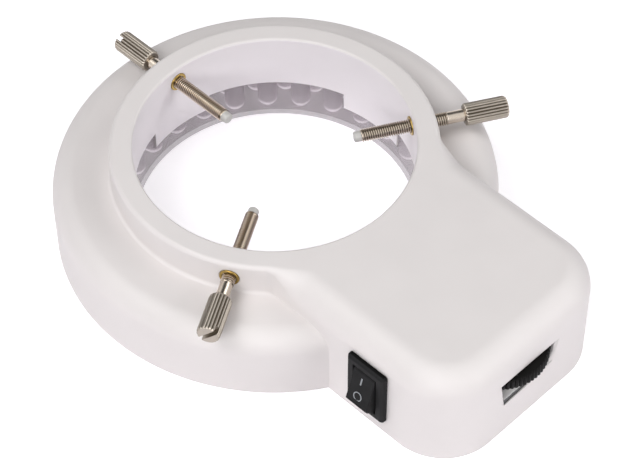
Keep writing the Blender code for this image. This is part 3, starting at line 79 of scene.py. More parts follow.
def close_edit():
    """Go back to object mode."""
    bpy.ops.object.mode_set(mode="OBJECT")


def tidy_mesh(item, turn_outwards=True):
    """Merge points that coincide, drop faces without area and turn all faces outwards."""
    edit(item)
    bpy.ops.mesh.remove_doubles(threshold=weld_distance)
    bpy.ops.mesh.dissolve_degenerate(threshold=weld_distance)
    if turn_outwards:
        bpy.ops.mesh.normals_make_consistent(inside=False)
    close_edit()


# %% [markdown]
# ## Drawing a section
# Most pieces of this lamp are turned or moulded round an axis, so each starts as a line drawn
# from point to point: one vertex is extruded again and again. The line is then spun.

# %% Draw a line of points, and spin it round an axis
def draw_line(name, points):
    """Draw a chain of (x, y, z) points by extruding one vertex from place to place."""
    bpy.ops.object.select_all(action="DESELECT")
    bpy.ops.mesh.primitive_plane_add(size=MM)
    item = bpy.context.object
    item.name = name
    edit(item)
    bpy.ops.mesh.merge(type="CENTER")
    bpy.ops.transform.translate(value=points[0])
    for start, end in zip(points, points[1:]):
        bpy.ops.mesh.extrude_vertices_move(
            TRANSFORM_OT_translate={"value": Vector(end) - Vector(start)})
    close_edit()
    return item


def turn_section(name, section, sides):
    """Spin a section of (radius, height) points once round the vertical axis."""
    item = draw_line(name, [(radius, 0, height) for radius, height in section])
    edit(item)
    bpy.ops.mesh.spin(steps=sides, angle=math.tau, center=(0, 0, 0), axis=(0, 0, 1))
    close_edit()
    tidy_mesh(item)
    return item


def rounding(centre, radius, start, end, steps):
    """Points along an arc between two angles in degrees, both ends included."""
    turns = [(start + (end - start) * step / steps) * DEGREE for step in range(steps + 1)]
    return [(centre[0] + radius * math.cos(turn), centre[1] + radius * math.sin(turn))
            for turn in turns]


def from_mm(points):
    """Points that are written in millimetres, in Blender's metres."""
    return [(first * MM, second * MM) for first, second in points]


# %% [markdown]
# ## Building up a shape from outlines
# The collar and the box share one outline, and its top rounding grows from 1 mm on the collar
# to 6 mm on the box. A bevel has one width, so the shape is extruded outline by outline
# instead, and each new top face is laid on the next outline.

# %% Extrude a face through a stack of outlines
def stack_outlines(name, outlines):
    """Lay a filled circle on the first outline, then extrude it through all the others."""
    bpy.ops.object.select_all(action="DESELECT")
    bpy.ops.mesh.primitive_circle_add(vertices=len(outlines[0]), radius=MM, fill_type="NGON")
    item = bpy.context.object
    item.name = name
    edit(item)
    for number, outline in enumerate(outlines):
        if number:
            bpy.ops.mesh.extrude_region_move()
        mesh = bmesh.from_edit_mesh(item.data)
        top = next(face for face in mesh.faces if face.select)
        for corner, place in zip(top.verts, outline):
            corner.co = place
        bmesh.update_edit_mesh(item.data)
    close_edit()
    tidy_mesh(item)
    return item


# %% [markdown]
# ## Cutting, joining and copying
# Holes and hollows are cut as in a workshop: a tool is modelled where the hole goes, and a
# Boolean modifier takes it away. Faces could be deleted and bridged by hand instead, but a
# tool keeps its real size and place, and the exact solver leaves thin walls whole.

# %% Cut with a tool, join pieces, and place a piece
def carve(item, tool, operation="DIFFERENCE"):
    """Cut a tool away from an object, or add it on, and clean the seam."""
    choose(item)
    modifier = item.modifiers.new("carve", "BOOLEAN")
    modifier.operation = operation
    modifier.solver = "EXACT"
    modifier.object = tool
    bpy.ops.object.modifier_apply(modifier=modifier.name)
    bpy.data.objects.remove(tool)
    tidy_mesh(item, turn_outwards=False)


def join_pieces(name, items):
    """Make one object of several."""
    choose(items[0])
    for item in items:
        item.select_set(True)
    bpy.ops.object.join()
    items[0].name = name
    return items[0]


def copy_of(pattern, name):
    """A copy of a piece, with a mesh of its own."""
    piece = pattern.copy()
    piece.data = pattern.data.copy()
    piece.name = name
    bpy.context.scene.collection.objects.link(piece)
    return piece


def settle(item):
    """Move an object's place and turn into its mesh, so that it sits at the origin."""
    choose(item)
    bpy.ops.object.transform_apply(location=True, rotation=True, scale=True)
    return item


def stand_radially(item, angle, distance, height):
    """Lay a piece that was made upright so that its top points away from the lamp's axis."""
    item.location = (distance * math.cos(angle), distance * math.sin(angle), height)
    item.rotation_euler = (0, math.pi / 2, angle)
    return settle(item)


def rod(start, end, radius, sides=48):
    """A cylinder between two points, used as a cutting tool or as a boss."""
    start, end = Vector(start), Vector(end)
    bpy.ops.object.select_all(action="DESELECT")
    bpy.ops.mesh.primitive_cylinder_add(
        vertices=sides, radius=radius, depth=(end - start).length, location=(start + end) / 2,
        rotation=(end - start).to_track_quat("Z", "Y").to_euler())
    return settle(bpy.context.object)


def block(low, high):
    """A box between two corners, used as a cutting tool."""
    low, high = Vector(low), Vector(high)
    bpy.ops.object.select_all(action="DESELECT")
    bpy.ops.mesh.primitive_cube_add(size=1, location=(low + high) / 2, scale=high - low)
    return settle(bpy.context.object)


# %% [markdown]
# ## Edges and shading
# No made edge is quite sharp: the mould, the tumbler or the file has rounded it. The Bevel
# modifier does this where the surface turns by more than an angle, so that long curves stay as
# they are. Shading smooth by angle would still let light creep round those small roundings,
# so weighted normals follow, which keep the large faces flat.

# %% Soften edges and shade a finished piece
def round_edges(item, width, segments=2, angle=35):
    """Give every edge sharper than an angle a small rounding."""
    choose(item)
    modifier = item.modifiers.new("rounding", "BEVEL")
    modifier.width = width
    modifier.segments = segments
    modifier.limit_method = "ANGLE"
    modifier.angle_limit = angle * DEGREE
    bpy.ops.object.modifier_apply(modifier=modifier.name)


def smooth(item, angle=38):
    """Shade smooth over turns gentler than an angle."""
    choose(item)
    bpy.ops.object.shade_smooth_by_angle(angle=angle * DEGREE)


def shade(item, angle=38):
    """Shade smooth over gentle turns, and keep the large flat faces flat."""
    smooth(item, angle)
    modifier = item.modifiers.new("flat_faces", "WEIGHTED_NORMAL")
    modifier.keep_sharp = True
    bpy.ops.object.modifier_apply(modifier=modifier.name)


# %% [markdown]
# ## Finishes
# Every finish starts from what the real surface is. Colours are written as sRGB hex values, as
# a colour picker gives them, and one function turns them into the linear values that the
# shader takes. Pictures of surfaces could be used, but noise that is worked out from each
# point's own place needs no unwrapping and never shows a seam.

# %% Start a material, and add nodes to it
# A Mix node has sockets for numbers, for vectors and for colours. These are the colour ones.
FACTOR, COLOUR_A, COLOUR_B, MIXED_COLOUR = 0, 6, 7, 2


def srgb(hex_colour):
    """Linear red, green, blue and alpha of an sRGB hex colour, by the standard's own curve."""
    parts = [int(hex_colour[place:place + 2], 16) / 255 for place in (1, 3, 5)]
    return [part / 12.92 if part <= 0.04045 else ((part + 0.055) / 1.055) ** 2.4
            for part in parts] + [1]


def new_finish(name):
    """A new material, and its shader."""
    material = bpy.data.materials.new(name)
    material.use_nodes = True
    print("finish:", name)
    return material, material.node_tree.nodes["Principled BSDF"]


def add_node(material, kind, inputs=None, **settings):
    """Add a node, set its options, and give its inputs a value or a link."""
    node = material.node_tree.nodes.new(kind)
    for name, value in settings.items():
        setattr(node, name, value)
    for socket, value in (inputs or {}).items():
        if isinstance(value, bpy.types.NodeSocket):
            material.node_tree.links.new(value, node.inputs[socket])
        else:
            node.inputs[socket].default_value = value
    return node


def link(material, output, node, socket):
    """Lead one node's output to another node's input."""
    material.node_tree.links.new(output, node.inputs[socket])


# %% [markdown]
# Most surfaces of a lamp differ in the same few ways: two close shades of one colour, a
# roughness that wanders a little, and a grain that catches the light. One function lays these
# over any shader, from the real size of the mottle and of the grain.

# %% Mottle, roughness and grain from sizes in millimetres
def lay_surface(material, shader, dark, light, mottle_mm, grain_mm, roughness, relief_mm):
    """Two shades in soft patches, roughness between two values, and a fine grain."""
    # A noise's scale counts its patches in a metre, and 1000 mm make a metre.
    place = add_node(material, "ShaderNodeTexCoord").outputs["Object"]
    mottle = add_node(material, "ShaderNodeTexNoise",
                      {"Vector": place, "Scale": 1000 / mottle_mm, "Detail": 3.0})
    shades = add_node(material, "ShaderNodeMix",
                      {FACTOR: mottle.outputs["Fac"], COLOUR_A: srgb(dark),
                       COLOUR_B: srgb(light)}, data_type="RGBA")
    grain = add_node(material, "ShaderNodeTexNoise",
                     {"Vector": place, "Scale": 1000 / grain_mm, "Detail": 2.0})
    gloss = add_node(material, "ShaderNodeMapRange",
                     {"Value": mottle.outputs["Fac"], "From Min": 0.3, "From Max": 0.7,
                      "To Min": roughness[0], "To Max": roughness[1]})
    bump = add_node(material, "ShaderNodeBump",
                    {"Height": grain.outputs["Fac"], "Distance": relief_mm * MM,
                     "Strength": 1.0})
    link(material, shades.outputs[MIXED_COLOUR], shader, "Base Color")
    link(material, gloss.outputs[0], shader, "Roughness")
    link(material, bump.outputs[0], shader, "Normal")
    return bump


# %% [markdown]
# **Satin ABS.** The housing is injection moulded in white ABS, from a mould with a fine spark
# eroded texture. That gives a soft sheen with no sharp reflections. The texture's real grain of
# 0.05 mm is too fine to show here, so it is drawn at 0.35 mm. A moulded edge is never sharp.
# Bevelling every edge of the mesh would be fragile after so many cuts, so the Bevel node rounds
# the shading of every edge and inside corner by 0.5 mm instead. The bore is shaped by the
# mould's core, which is smoother. Its wall is also painted a shade lighter and cooler, as
# painted light that makes up for the shade the lamps leave in the bore.

# %% Satin white ABS
abs_ior, abs_edge_round = 1.53, 0.5 * MM
white_abs, shader = new_finish("white_abs_moulded")
bump = lay_surface(white_abs, shader, "#DFDAD9", "#E4DFDE", 9, 0.35, (0.5, 0.56), 0.004)
soft_edges = add_node(white_abs, "ShaderNodeBevel", {"Radius": abs_edge_round}, samples=6)
link(white_abs, soft_edges.outputs[0], bump, "Normal")
shader.inputs["IOR"].default_value = abs_ior

# The bore's finish: smoother, and painted a shade lighter and cooler, which is painted light.
bore_abs_painted_lighter, shader = new_finish("white_abs_painted_lighter_in_bore")
lay_surface(bore_abs_painted_lighter, shader, "#EBE6E9", "#F0EBEE", 9, 0.35, (0.42, 0.48), 0.002)
shader.inputs["IOR"].default_value = abs_ior

# %% [markdown]
# **Clear polycarbonate.** The lens is moulded clear, a little smoky, and polished. Its wall is
# so thin that it hardly bends the light, so the shader's alpha lets the light straight through
# both faces and on to the lights behind. Its faint waviness comes from a broad, low bump.

# %% Clear polycarbonate
clear_lens, shader = new_finish("polycarbonate_clear")
lay_surface(clear_lens, shader, "#968B91", "#9F949A", 12, 3, (0.06, 0.12), 0.006)
shader.inputs["Alpha"].default_value = 0.33
shader.inputs["IOR"].default_value = 1.585

# %% [markdown]
# ** Nickel, brass and zinc.** The thumb screws are turned brass with bright nickel plate,
# slightly warm with age. Plate deposits thinner and stays duller at the bottom of a groove, and
# shade gathers there too, so the flutes are painted a darker brown: duller plate and painted
# shade. The thread is brighter, and only its roots are painted dark. Grooves could be painted
# by hand, but Ambient Occlusion finds every hemmed-in place by itself.

# %% Nickel, brass and zinc
def paint_groove_dullness_and_shade(material, shader, dullness_and_shade_colour, reach_mm):
    """Darken hemmed-in places within a reach in millimetres: duller metal, and painted shade."""
    open_sky = add_node(material, "ShaderNodeAmbientOcclusion",
                        {"Distance": reach_mm * MM}, samples=8, only_local=True)
    amount = add_node(material, "ShaderNodeMapRange",
                      {"Value": open_sky.outputs["AO"], "From Min": 0.45, "From Max": 0.95})
    colour = shader.inputs["Base Color"].links[0].from_socket
    mixed = add_node(material, "ShaderNodeMix",
                     {FACTOR: amount.outputs[0], COLOUR_A: srgb(dullness_and_shade_colour),
                      COLOUR_B: colour}, data_type="RGBA")
    link(material, mixed.outputs[MIXED_COLOUR], shader, "Base Color")


# The three finishes below are painted darker where they are hemmed in: duller metal there, and
# painted shade.
nickel_plate, shader = new_finish("nickel_plate_bright")
lay_surface(nickel_plate, shader, "#9A9288", "#ABA399", 1.6, 0.3, (0.28, 0.38), 0.0005)
paint_groove_dullness_and_shade(nickel_plate, shader, "#6A6053", 0.25)
shader.inputs["Metallic"].default_value = 1

nickel_thread, shader = new_finish("nickel_plate_on_thread")
lay_surface(nickel_thread, shader, "#C4B8AA", "#D1C6B9", 1.2, 0.3, (0.2, 0.26), 0.0006)
paint_groove_dullness_and_shade(nickel_thread, shader, "#766A5B", 0.22)
shader.inputs["Metallic"].default_value = 1

turned_brass, shader = new_finish("brass_turned")
lay_surface(turned_brass, shader, "#9C8244", "#B39A5F", 1.2, 0.3, (0.22, 0.34), 0.002)
paint_groove_dullness_and_shade(turned_brass, shader, "#4A3618", 0.5)
shader.inputs["Metallic"].default_value = 1

zinc_plate, shader = new_finish("zinc_plated_steel")
lay_surface(zinc_plate, shader, "#9DA0A3", "#B9BBBD", 0.9, 0.2, (0.25, 0.42), 0.005)
shader.inputs["Metallic"].default_value = 1

tin_plate, shader = new_finish("tin_plated_brass")
lay_surface(tin_plate, shader, "#B8B5AE", "#CFCCC6", 0.9, 0.2, (0.22, 0.35), 0.004)
shader.inputs["Metallic"].default_value = 1

# %% [markdown]
# **Nylon.** Natural nylon lets light a little way in, so the tips look milky. Subsurface
# scattering gives that, with one short reach for all three colours because nylon is neutral.

# %% Nylon
natural_nylon, shader = new_finish("nylon_natural")
lay_surface(natural_nylon, shader, "#BCBAB7", "#C8C6C3", 1.5, 0.25, (0.32, 0.42), 0.004)
shader.inputs["Subsurface Weight"].default_value = 0.35
shader.inputs["Subsurface Scale"].default_value = 0.8 * MM
shader.inputs["Subsurface Radius"].default_value = (1.0, 1.0, 1.0)
shader.inputs["IOR"].default_value = 1.53

# %% [markdown]
# ** Black plastics.** The switch is moulded in black polyamide with a fine texture, and the
# dimmer's wheel is a smoother acetal. Both scatter what little they reflect, which leaves them
# a very dark grey. The bezel's upper side has no texture. Its colour and gleam are painted
# darker than the rest, as painted shade for the dark room that it mirrors, and make it the
# blackest part of the switch.

# %% Black polyamide and acetal
black_switch, shader = new_finish("polyamide_black_textured")
lay_surface(black_switch, shader, "#121213", "#181819", 2.5, 0.3, (0.6, 0.7), 0.008)
shader.inputs["IOR"].default_value = 1.45
shader.inputs["Specular IOR Level"].default_value = 0.2

# The bezel's upper side: smoother, with a colour and gleam painted darker as painted shade.
black_painted_darker_on_top, shader = new_finish("polyamide_black_painted_darker_on_top")
lay_surface(black_painted_darker_on_top, shader, "#060606", "#0B0B0B", 2.5, 0.3, (0.5, 0.6), 0.003)
shader.inputs["IOR"].default_value = 1.45
shader.inputs["Specular IOR Level"].default_value = 0.08

black_wheel, shader = new_finish("acetal_black")
lay_surface(black_wheel, shader, "#0D0C0C", "#131211", 2.0, 0.4, (0.45, 0.55), 0.004)
shader.inputs["IOR"].default_value = 1.45
shader.inputs["Specular IOR Level"].default_value = 0.12

print_ink, shader = new_finish("pad_print_grey")
lay_surface(print_ink, shader, "#8F9296", "#9DA2A7", 0.6, 0.15, (0.5, 0.6), 0.003)

# %% [markdown]
# **Lights.** A light is a cast epoxy body with a plated cup and a dab of yellow gel inside.
# The epoxy is water-clear, but a small clear body gathers light from all round it and looks
# milky behind the grey lens. Real refraction would need many bounces and leave noise, so the
# body is drawn pale and lets only a little light through. The domed end gathers the most, from
# the bench below it, and shows as a pale crescent. Here the dome has a faint glow that ends
# where the straight sides begin. It is meant for the eye and not to light anything, so it isn't
# sampled as a lamp, and that keeps the picture clean.

# %% Epoxy and the cup in it
full_glow_height, no_glow_height = 3.1 * MM, 3.6 * MM
led_epoxy, shader = new_finish("epoxy_water_clear")
lay_surface(led_epoxy, shader, "#EDE7ED", "#F4EFF4", 3, 1.5, (0.02, 0.05), 0.002)
shader.inputs["Transmission Weight"].default_value = 0.1
shader.inputs["IOR"].default_value = 1.5
place = add_node(led_epoxy, "ShaderNodeTexCoord")
height = add_node(led_epoxy, "ShaderNodeSeparateXYZ", {"Vector": place.outputs["Object"]})
dome_share = add_node(led_epoxy, "ShaderNodeMapRange",
                      {"Value": height.outputs["Z"], "From Min": full_glow_height,
                       "From Max": no_glow_height, "To Min": 1.0, "To Max": 0.0})
gathered = add_node(led_epoxy, "ShaderNodeMix",
                    {FACTOR: dome_share.outputs[0], COLOUR_A: srgb("#000000"),
                     COLOUR_B: srgb("#F6F0F6")}, data_type="RGBA")
link(led_epoxy, gathered.outputs[MIXED_COLOUR], shader, "Emission Color")
shader.inputs["Emission Strength"].default_value = 0.65
led_epoxy.cycles.emission_sampling = "NONE"

led_cup, shader = new_finish("silver_plated_cup")
lay_surface(led_cup, shader, "#B9BCC2", "#D0D3D8", 0.8, 0.2, (0.18, 0.3), 0.003)
shader.inputs["Metallic"].default_value = 1

led_phosphor, shader = new_finish("phosphor_gel")
lay_surface(led_phosphor, shader, "#D9C95A", "#E5D773", 0.5, 0.12, (0.4, 0.5), 0.003)

# %% [markdown]
# ** Boards.** Both boards carry a white solder mask. A board's side faces are drawn dark grey:
# partly the bare laminate, and partly painted shade where the tongue shows in the wheel's slot.
# The edge faces could be given a material of their own, but the direction in which a face looks
# says the same, and holds for the CAD's meshes too.

# %% White solder mask with a dark cut edge
board_mask, shader = new_finish("solder_mask_white")
lay_surface(board_mask, shader, "#F1EFEE", "#F8F6F5", 6, 0.4, (0.35, 0.5), 0.005)
facing = add_node(board_mask, "ShaderNodeNewGeometry")
facing_parts = add_node(board_mask, "ShaderNodeSeparateXYZ",
                        {"Vector": facing.outputs["Normal"]})
upright = add_node(board_mask, "ShaderNodeMath", {0: facing_parts.outputs["Z"]},
                   operation="ABSOLUTE")
on_face = add_node(board_mask, "ShaderNodeMath", {0: upright.outputs[0], 1: 0.5},
                   operation="GREATER_THAN")
mask_colour = shader.inputs["Base Color"].links[0].from_socket
# Side faces are painted dark grey: bare laminate, and painted shade in the slot.
laminate_and_shade_edge_mix = add_node(board_mask, "ShaderNodeMix",
                    {FACTOR: on_face.outputs[0], COLOUR_A: srgb("#303032"),
                     COLOUR_B: mask_colour}, data_type="RGBA")
link(board_mask, laminate_and_shade_edge_mix.outputs[MIXED_COLOUR], shader, "Base Color")

# %% [markdown]
# **Parts inside the box.** Nobody sees them with the lamp closed, yet each has its own finish:
# a blue shrunk sleeve on the capacitor, ferrite, lacquer and the leads' insulation.

# %% Finishes of the parts inside
can_sleeve, shader = new_finish("pvc_shrunk_sleeve_blue")
lay_surface(can_sleeve, shader, "#1C2A5A", "#24346B", 2, 0.4, (0.25, 0.35), 0.004)
ferrite, shader = new_finish("ferrite_sintered")
lay_surface(ferrite, shader, "#38383B", "#4B4B4E", 0.8, 0.25, (0.6, 0.75), 0.012)
lacquer, shader = new_finish("resistor_lacquer")
lay_surface(lacquer, shader, "#B79564", "#C5A576", 1, 0.3, (0.3, 0.45), 0.006)
red_pvc, shader = new_finish("pvc_insulation_red")
lay_surface(red_pvc, shader, "#A81E1E", "#BB2A28", 2, 0.4, (0.35, 0.45), 0.004)
black_pvc, shader = new_finish("pvc_insulation_black")
lay_surface(black_pvc, shader, "#1A1A1B", "#232324", 2, 0.4, (0.35, 0.45), 0.004)


def dress(item, *finishes):
    """Give an object its finishes, in the order of its material slots, and say so."""
    item.data.materials.clear()
    for finish in finishes:
        item.data.materials.append(finish)
    print(f"{item.name}: {len(item.data.polygons)} faces in",
          " and ".join(finish.name for finish in finishes))


# %% [markdown]
# ## The housing
# The housing is one moulding: a ring, a collar and a box that stands on both. The ring is
# turned, the collar and the box are stacked outlines, and then the hollows are cut out. It
# repeats the CAD's sizes with many more steps, so that its long curves stay smooth in a close
# view.

# %% Sizes of the housing
bore_radius, bore_draft = 30.5 * MM, 0.35 * MM
collar_radius, body_height = 35.6 * MM, 25.0 * MM
ring_radius, ring_top, ring_shoulder = 48.6 * MM, 17.2 * MM, 5.2 * MM
wall = 2.2 * MM
inner_wall_radius, window_edge, tab_edge = 31.8 * MM, 11.0 * MM, 6.6 * MM
box_half_width, box_reach, box_corner = 25.5 * MM, 74.6 * MM, 13.0 * MM
rim_round, bore_rim_round, box_top_round = 1.0 * MM, 0.6 * MM, 6.0 * MM
neck_round, neck_blend = 4.0 * MM, 6.0 * MM
gap, fit, over = 0.3 * MM, 0.15 * MM, 1.0 * MM
round_steps, ring_sides = 10, 180
neck_steps, blend_steps, corner_steps, collar_steps = 12, 8, 24, 132
print("ring across and box length in mm:", round(2 * ring_radius / MM, 1),
      round((box_reach - collar_radius) / MM, 1))

# %% [markdown]
# The collar and the box have one outline: most of a circle, a hollow neck on both sides and a
# rectangle with round corners. Every point also carries its outward direction, so that the
# outline can be drawn in for a rounding or for the wall, and the width of its top rounding,
# which grows gently from the collar to the box.

# %% The outline that the collar and the box share
def body_outline(inset):
    """Points, outward directions and top roundings, anticlockwise from the neck at the right."""
    neck_x = box_half_width + neck_round
    neck_y = -math.sqrt((collar_radius + neck_round) ** 2 - neck_x ** 2)
    meeting = math.atan2(neck_y, neck_x)
    blend_start, blend_end = collar_radius * math.sin(meeting), neck_y - neck_blend
    corner_x, corner_y = box_half_width - box_corner, box_corner - box_reach
    half = []
    for step in range(1, neck_steps + 1):
        angle = math.pi + meeting * (1 - step / neck_steps)
        half.append((neck_x + neck_round * math.cos(angle),
                     neck_y + neck_round * math.sin(angle), angle - math.pi))
    for step in range(1, blend_steps + 1):
        half.append((box_half_width, neck_y - neck_blend * step / blend_steps, 0))
    half.append((box_half_width, (blend_end + corner_y) / 2, 0))
    for step in range(corner_steps + 1):
        angle = -math.pi / 2 * step / corner_steps
        half.append((corner_x + box_corner * math.cos(angle),
                     corner_y + box_corner * math.sin(angle), angle))
    sweep = math.pi - 2 * meeting
    around = []
    for step in range(collar_steps + 1):
        angle = meeting + sweep * step / collar_steps
        around.append((collar_radius * math.cos(angle), collar_radius * math.sin(angle), angle))
    around += [(-x, y, math.pi - angle) for x, y, angle in half]
    around += reversed(half)
    outline = []
    for x, y, angle in around:
        share = min(1, max(0, (blend_start - y) / (blend_start - blend_end)))
        top = rim_round + (box_top_round - rim_round) * share * share * (3 - 2 * share)
        normal = Vector((math.cos(angle), math.sin(angle)))
        outline.append((Vector((x, y)) - inset * normal, normal, top))
    return outline


def body_stack(name, inset, bottom):
    """The collar and the box, drawn in all over by inset, with their rounded top edge."""
    outline = body_outline(inset)
    top = body_height - inset
    outlines = [[(*point, bottom) for point, _, _ in outline]]
    for step in range(round_steps + 1):
        turn = math.pi / 2 * step / round_steps
        level = []
        for point, normal, edge in outline:
            radius = max(edge - inset, rim_round / 2)
            level.append((*(point - normal * radius * (1 - math.cos(turn))),
                          top - radius * (1 - math.sin(turn))))
        outlines.append(level)
    return stack_outlines(name, outlines)


# %% The ring and the box, joined
base_round, foot_round = 0.3 * MM, 0.8 * MM
ring_section = [(0, 0), (ring_radius - base_round, 0)]
ring_section += rounding((ring_radius - base_round, base_round), base_round, -90, 0, 3)[1:]
ring_section += rounding((ring_radius - ring_shoulder, ring_top - ring_shoulder),
                         ring_shoulder, 0, 90, 20)
ring_section += rounding((collar_radius + foot_round, ring_top + foot_round), foot_round,
                         -90, -180, 6)
ring_section += [(0, ring_top + foot_round)]
housing = turn_section("housing", ring_section, ring_sides)
carve(housing, body_stack("body", 0, 0), "UNION")
print("ring and box faces:", len(housing.data.polygons))

# %% [markdown]
# Three hollows are cut into the joined body: the bore for the microscope, the channel for the
# lights, and the room in the box, which stops short of the channel.

# %% The hollows
bore_section = [(0, -over), (bore_radius + bore_draft, -over),
                (bore_radius + bore_draft, window_edge)]
bore_section += rounding((bore_radius + bore_rim_round, body_height - bore_rim_round),
                         bore_rim_round, 180, 90, 6)
bore_section += [(bore_radius + bore_rim_round, body_height + over), (0, body_height + over)]
carve(housing, turn_section("bore", bore_section, ring_sides))

channel_outer, channel_top, collar_foot = ring_radius - wall, ring_top - wall, 12.2 * MM
channel_corner = ring_shoulder - wall
channel_section = [(inner_wall_radius, -over), (channel_outer, -over)]
channel_section += rounding((channel_outer - channel_corner, channel_top - channel_corner),
                            channel_corner, 0, 90, 8)
channel_section += [(collar_radius - fit, channel_top), (collar_radius - fit, collar_foot),
                    (inner_wall_radius, collar_foot), (inner_wall_radius, -over)]
carve(housing, turn_section("light_channel", channel_section, ring_sides))

room = body_stack("box_room", wall, -over)
carve(room, rod((0, 0, -2 * over), (0, 0, body_height), collar_radius + gap, ring_sides))
carve(housing, room)
print("faces with the hollows:", len(housing.data.polygons))

# %% [markdown]
# Inside the bore a thin wall stands over the lens's skirt. It is cut away in four long windows,
# so that only four tabs reach down to hold the skirt. The collar has a hole for each screw's
# bush, and the box has one for the switch and one for the power socket.

# %% Windows, tabs, and the holes in the walls
tab_half_angle, window_steps = 15.5, 24


def ring_piece(name, inner, outer, start, end, bottom, top):
    """Part of a ring, between two angles in degrees, as a cutting tool."""
    outline = rounding((0, 0), outer, start, end, window_steps)
    outline += rounding((0, 0), inner, end, start, window_steps)
    return stack_outlines(name, [[(x, y, height) for x, y in outline]
                                 for height in (bottom, top)])


for quarter in range(4):
    start = 90 * quarter + tab_half_angle
    carve(housing, ring_piece("window", bore_radius - over, inner_wall_radius + fit, start,
                              start + 90 - 2 * tab_half_angle, -over, window_edge))
tab_section = [(inner_wall_radius + fit, -over), (inner_wall_radius + fit, tab_edge),
               (bore_radius - over, tab_edge), (bore_radius - over, -over),
               (inner_wall_radius + fit, -over)]
carve(housing, turn_section("tab_trim", tab_section, ring_sides))

screw_angles = (90 * DEGREE, -30 * DEGREE, -150 * DEGREE)
screw_height, bush_hole_radius, hole_reach = 21.0 * MM, 2.22 * MM, 7 * MM
for angle in screw_angles:
    hole = rod((0, 0, -2 * over), (0, 0, hole_reach), bush_hole_radius)
    carve(housing, stand_radially(hole, angle, bore_radius, screw_height))

switch_y, switch_z = -52.9 * MM, 11.7 * MM
switch_hole_half_width, switch_hole_half_height = 4.35 * MM, 6.55 * MM
carve(housing, block((-box_half_width - over, switch_y - switch_hole_half_width,
                      switch_z - switch_hole_half_height),
                     (-box_half_width + wall + over, switch_y + switch_hole_half_width,
                      switch_z + switch_hole_half_height)))
jack_y, jack_z, jack_hole_radius = -53.0 * MM, 15.3 * MM, 4.05 * MM
carve(housing, rod((box_half_width - wall - over, jack_y, jack_z),
                   (box_half_width + over, jack_y, jack_z), jack_hole_radius))
print("faces with windows and holes:", len(housing.data.polygons))

# %% [markdown]
# The slot for the dimmer's wheel has slanted ends and a lower edge that is not level. The wall
# round it is thinned from inside, so that the wheel can stand close to the outside, and its
# right end slopes inwards to the wheel's rim. A plain block would leave square ends, so each
# hole is stacked from outlines, drawn as seen from outside, at their depths in the wall. Behind
# the slot's lower edge a recess takes the tongue of the control board.

# %% The slot for the wheel
wheel_x, wheel_y = -1.0 * MM, -65.95 * MM
thinned_wall, slope_depth = 1.2 * MM, 0.5 * MM
room_outline = [(-12.01, 18.7), (-10.71, 6.8), (8.71, 8.2), (10.01, 18.7)]
outside = [(-9.81, 16.5), (-8.51, 9.0), (-2.0, 9.3), (6.51, 10.4), (7.02, 12.8), (7.81, 16.5)]
inside = outside[:3] + [(5.0, 10.4), (6.8, 12.8), (6.85, 16.5)]


def cut_end_wall(name, levels):
    """Cut the box's end wall with outlines, each at its distance from the lamp's axis."""
    carve(housing, stack_outlines(name, [[(x, -reach, z) for x, z in from_mm(outline)]
                                         for outline, reach in levels]))


cut_end_wall("slot_room", ((room_outline, box_reach - thinned_wall),
                           (room_outline, box_reach - wall - over)))
cut_end_wall("slot", ((outside, box_reach + over), (outside, box_reach),
                      (inside, box_reach - slope_depth), (inside, box_reach - wall)))
tongue_low, tongue_high, tongue_gap = 8.9 * MM, 10.5 * MM, 0.05 * MM
tongue_left, tongue_right, tongue_end = -8.4 * MM, -1.81 * MM, -74.3 * MM
carve(housing, block((tongue_left - gap, tongue_end - tongue_gap, tongue_low - gap),
                     (tongue_right + gap, over - box_reach, tongue_high)))
print("faces with the slot:", len(housing.data.polygons))

# %% [markdown]
# The wall of the bore gets the smoother finish, which is painted a shade lighter as painted
# light. Its faces are told apart by their place, and by looking at the lamp's axis.

# %% Shade and dress the housing
lighter_bore_bottom, facing_the_axis = 1.0 * MM, -0.9
shade(housing)
dress(housing, white_abs, bore_abs_painted_lighter)
# The bore's faces take the finish that is painted lighter: painted light.
for face in housing.data.polygons:
    x, y, z = face.center
    if (math.hypot(x, y) < inner_wall_radius and z > lighter_bore_bottom
            and face.normal.dot(Vector((x, y, 0)).normalized()) < facing_the_axis):
        face.material_index = 1
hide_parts("upper_housing")
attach(housing, "housing")

# %% [markdown]
# ## The clear lens
# One clear moulding covers the lights from below: a flat floor, a low lip at its rim and a
# skirt that stands inside the bore. The skirt is what shows from above. Floor and skirt could
# be two turned pieces, but one section gives the small fillet between them too. The skirt's
# lower edge has a fine bevel that catches the light, and four notches let the housing's tabs
# reach down.

# %% Lens
lens_inner, lens_outer = 31.0 * MM, 46.1 * MM
lens_bottom, floor_inner_top, floor_outer_top = 0.2 * MM, 1.0 * MM, 1.3 * MM
lip_top, lip_wall, lip_bevel = 3.0 * MM, 0.8 * MM, 0.2 * MM
skirt_top, skirt_wall, skirt_edge = window_edge - gap, 0.75 * MM, 0.1 * MM
skirt_bevel, skirt_bevel_height, lens_fillet = 0.35 * MM, 0.4 * MM, 0.4 * MM
notch_spare_angle = 0.55
lens_section = [(lens_inner + skirt_bevel, lens_bottom), (lens_outer - lip_bevel, lens_bottom),
                (lens_outer, lens_bottom + lip_bevel), (lens_outer, lip_top),
                (lens_outer - lip_wall, lip_top), (lens_outer - lip_wall, floor_outer_top)]
lens_section += rounding((lens_inner + skirt_wall + lens_fillet, floor_inner_top + lens_fillet),
                         lens_fillet, -90, -180, 4)
lens_section += [(lens_inner + skirt_wall, skirt_top - skirt_edge),
                 (lens_inner + skirt_wall - skirt_edge, skirt_top),
                 (lens_inner + skirt_edge, skirt_top), (lens_inner, skirt_top - skirt_edge),
                 (lens_inner, lens_bottom + skirt_bevel_height),
                 (lens_inner + skirt_bevel, lens_bottom)]
lens = turn_section("lens", lens_section, ring_sides)
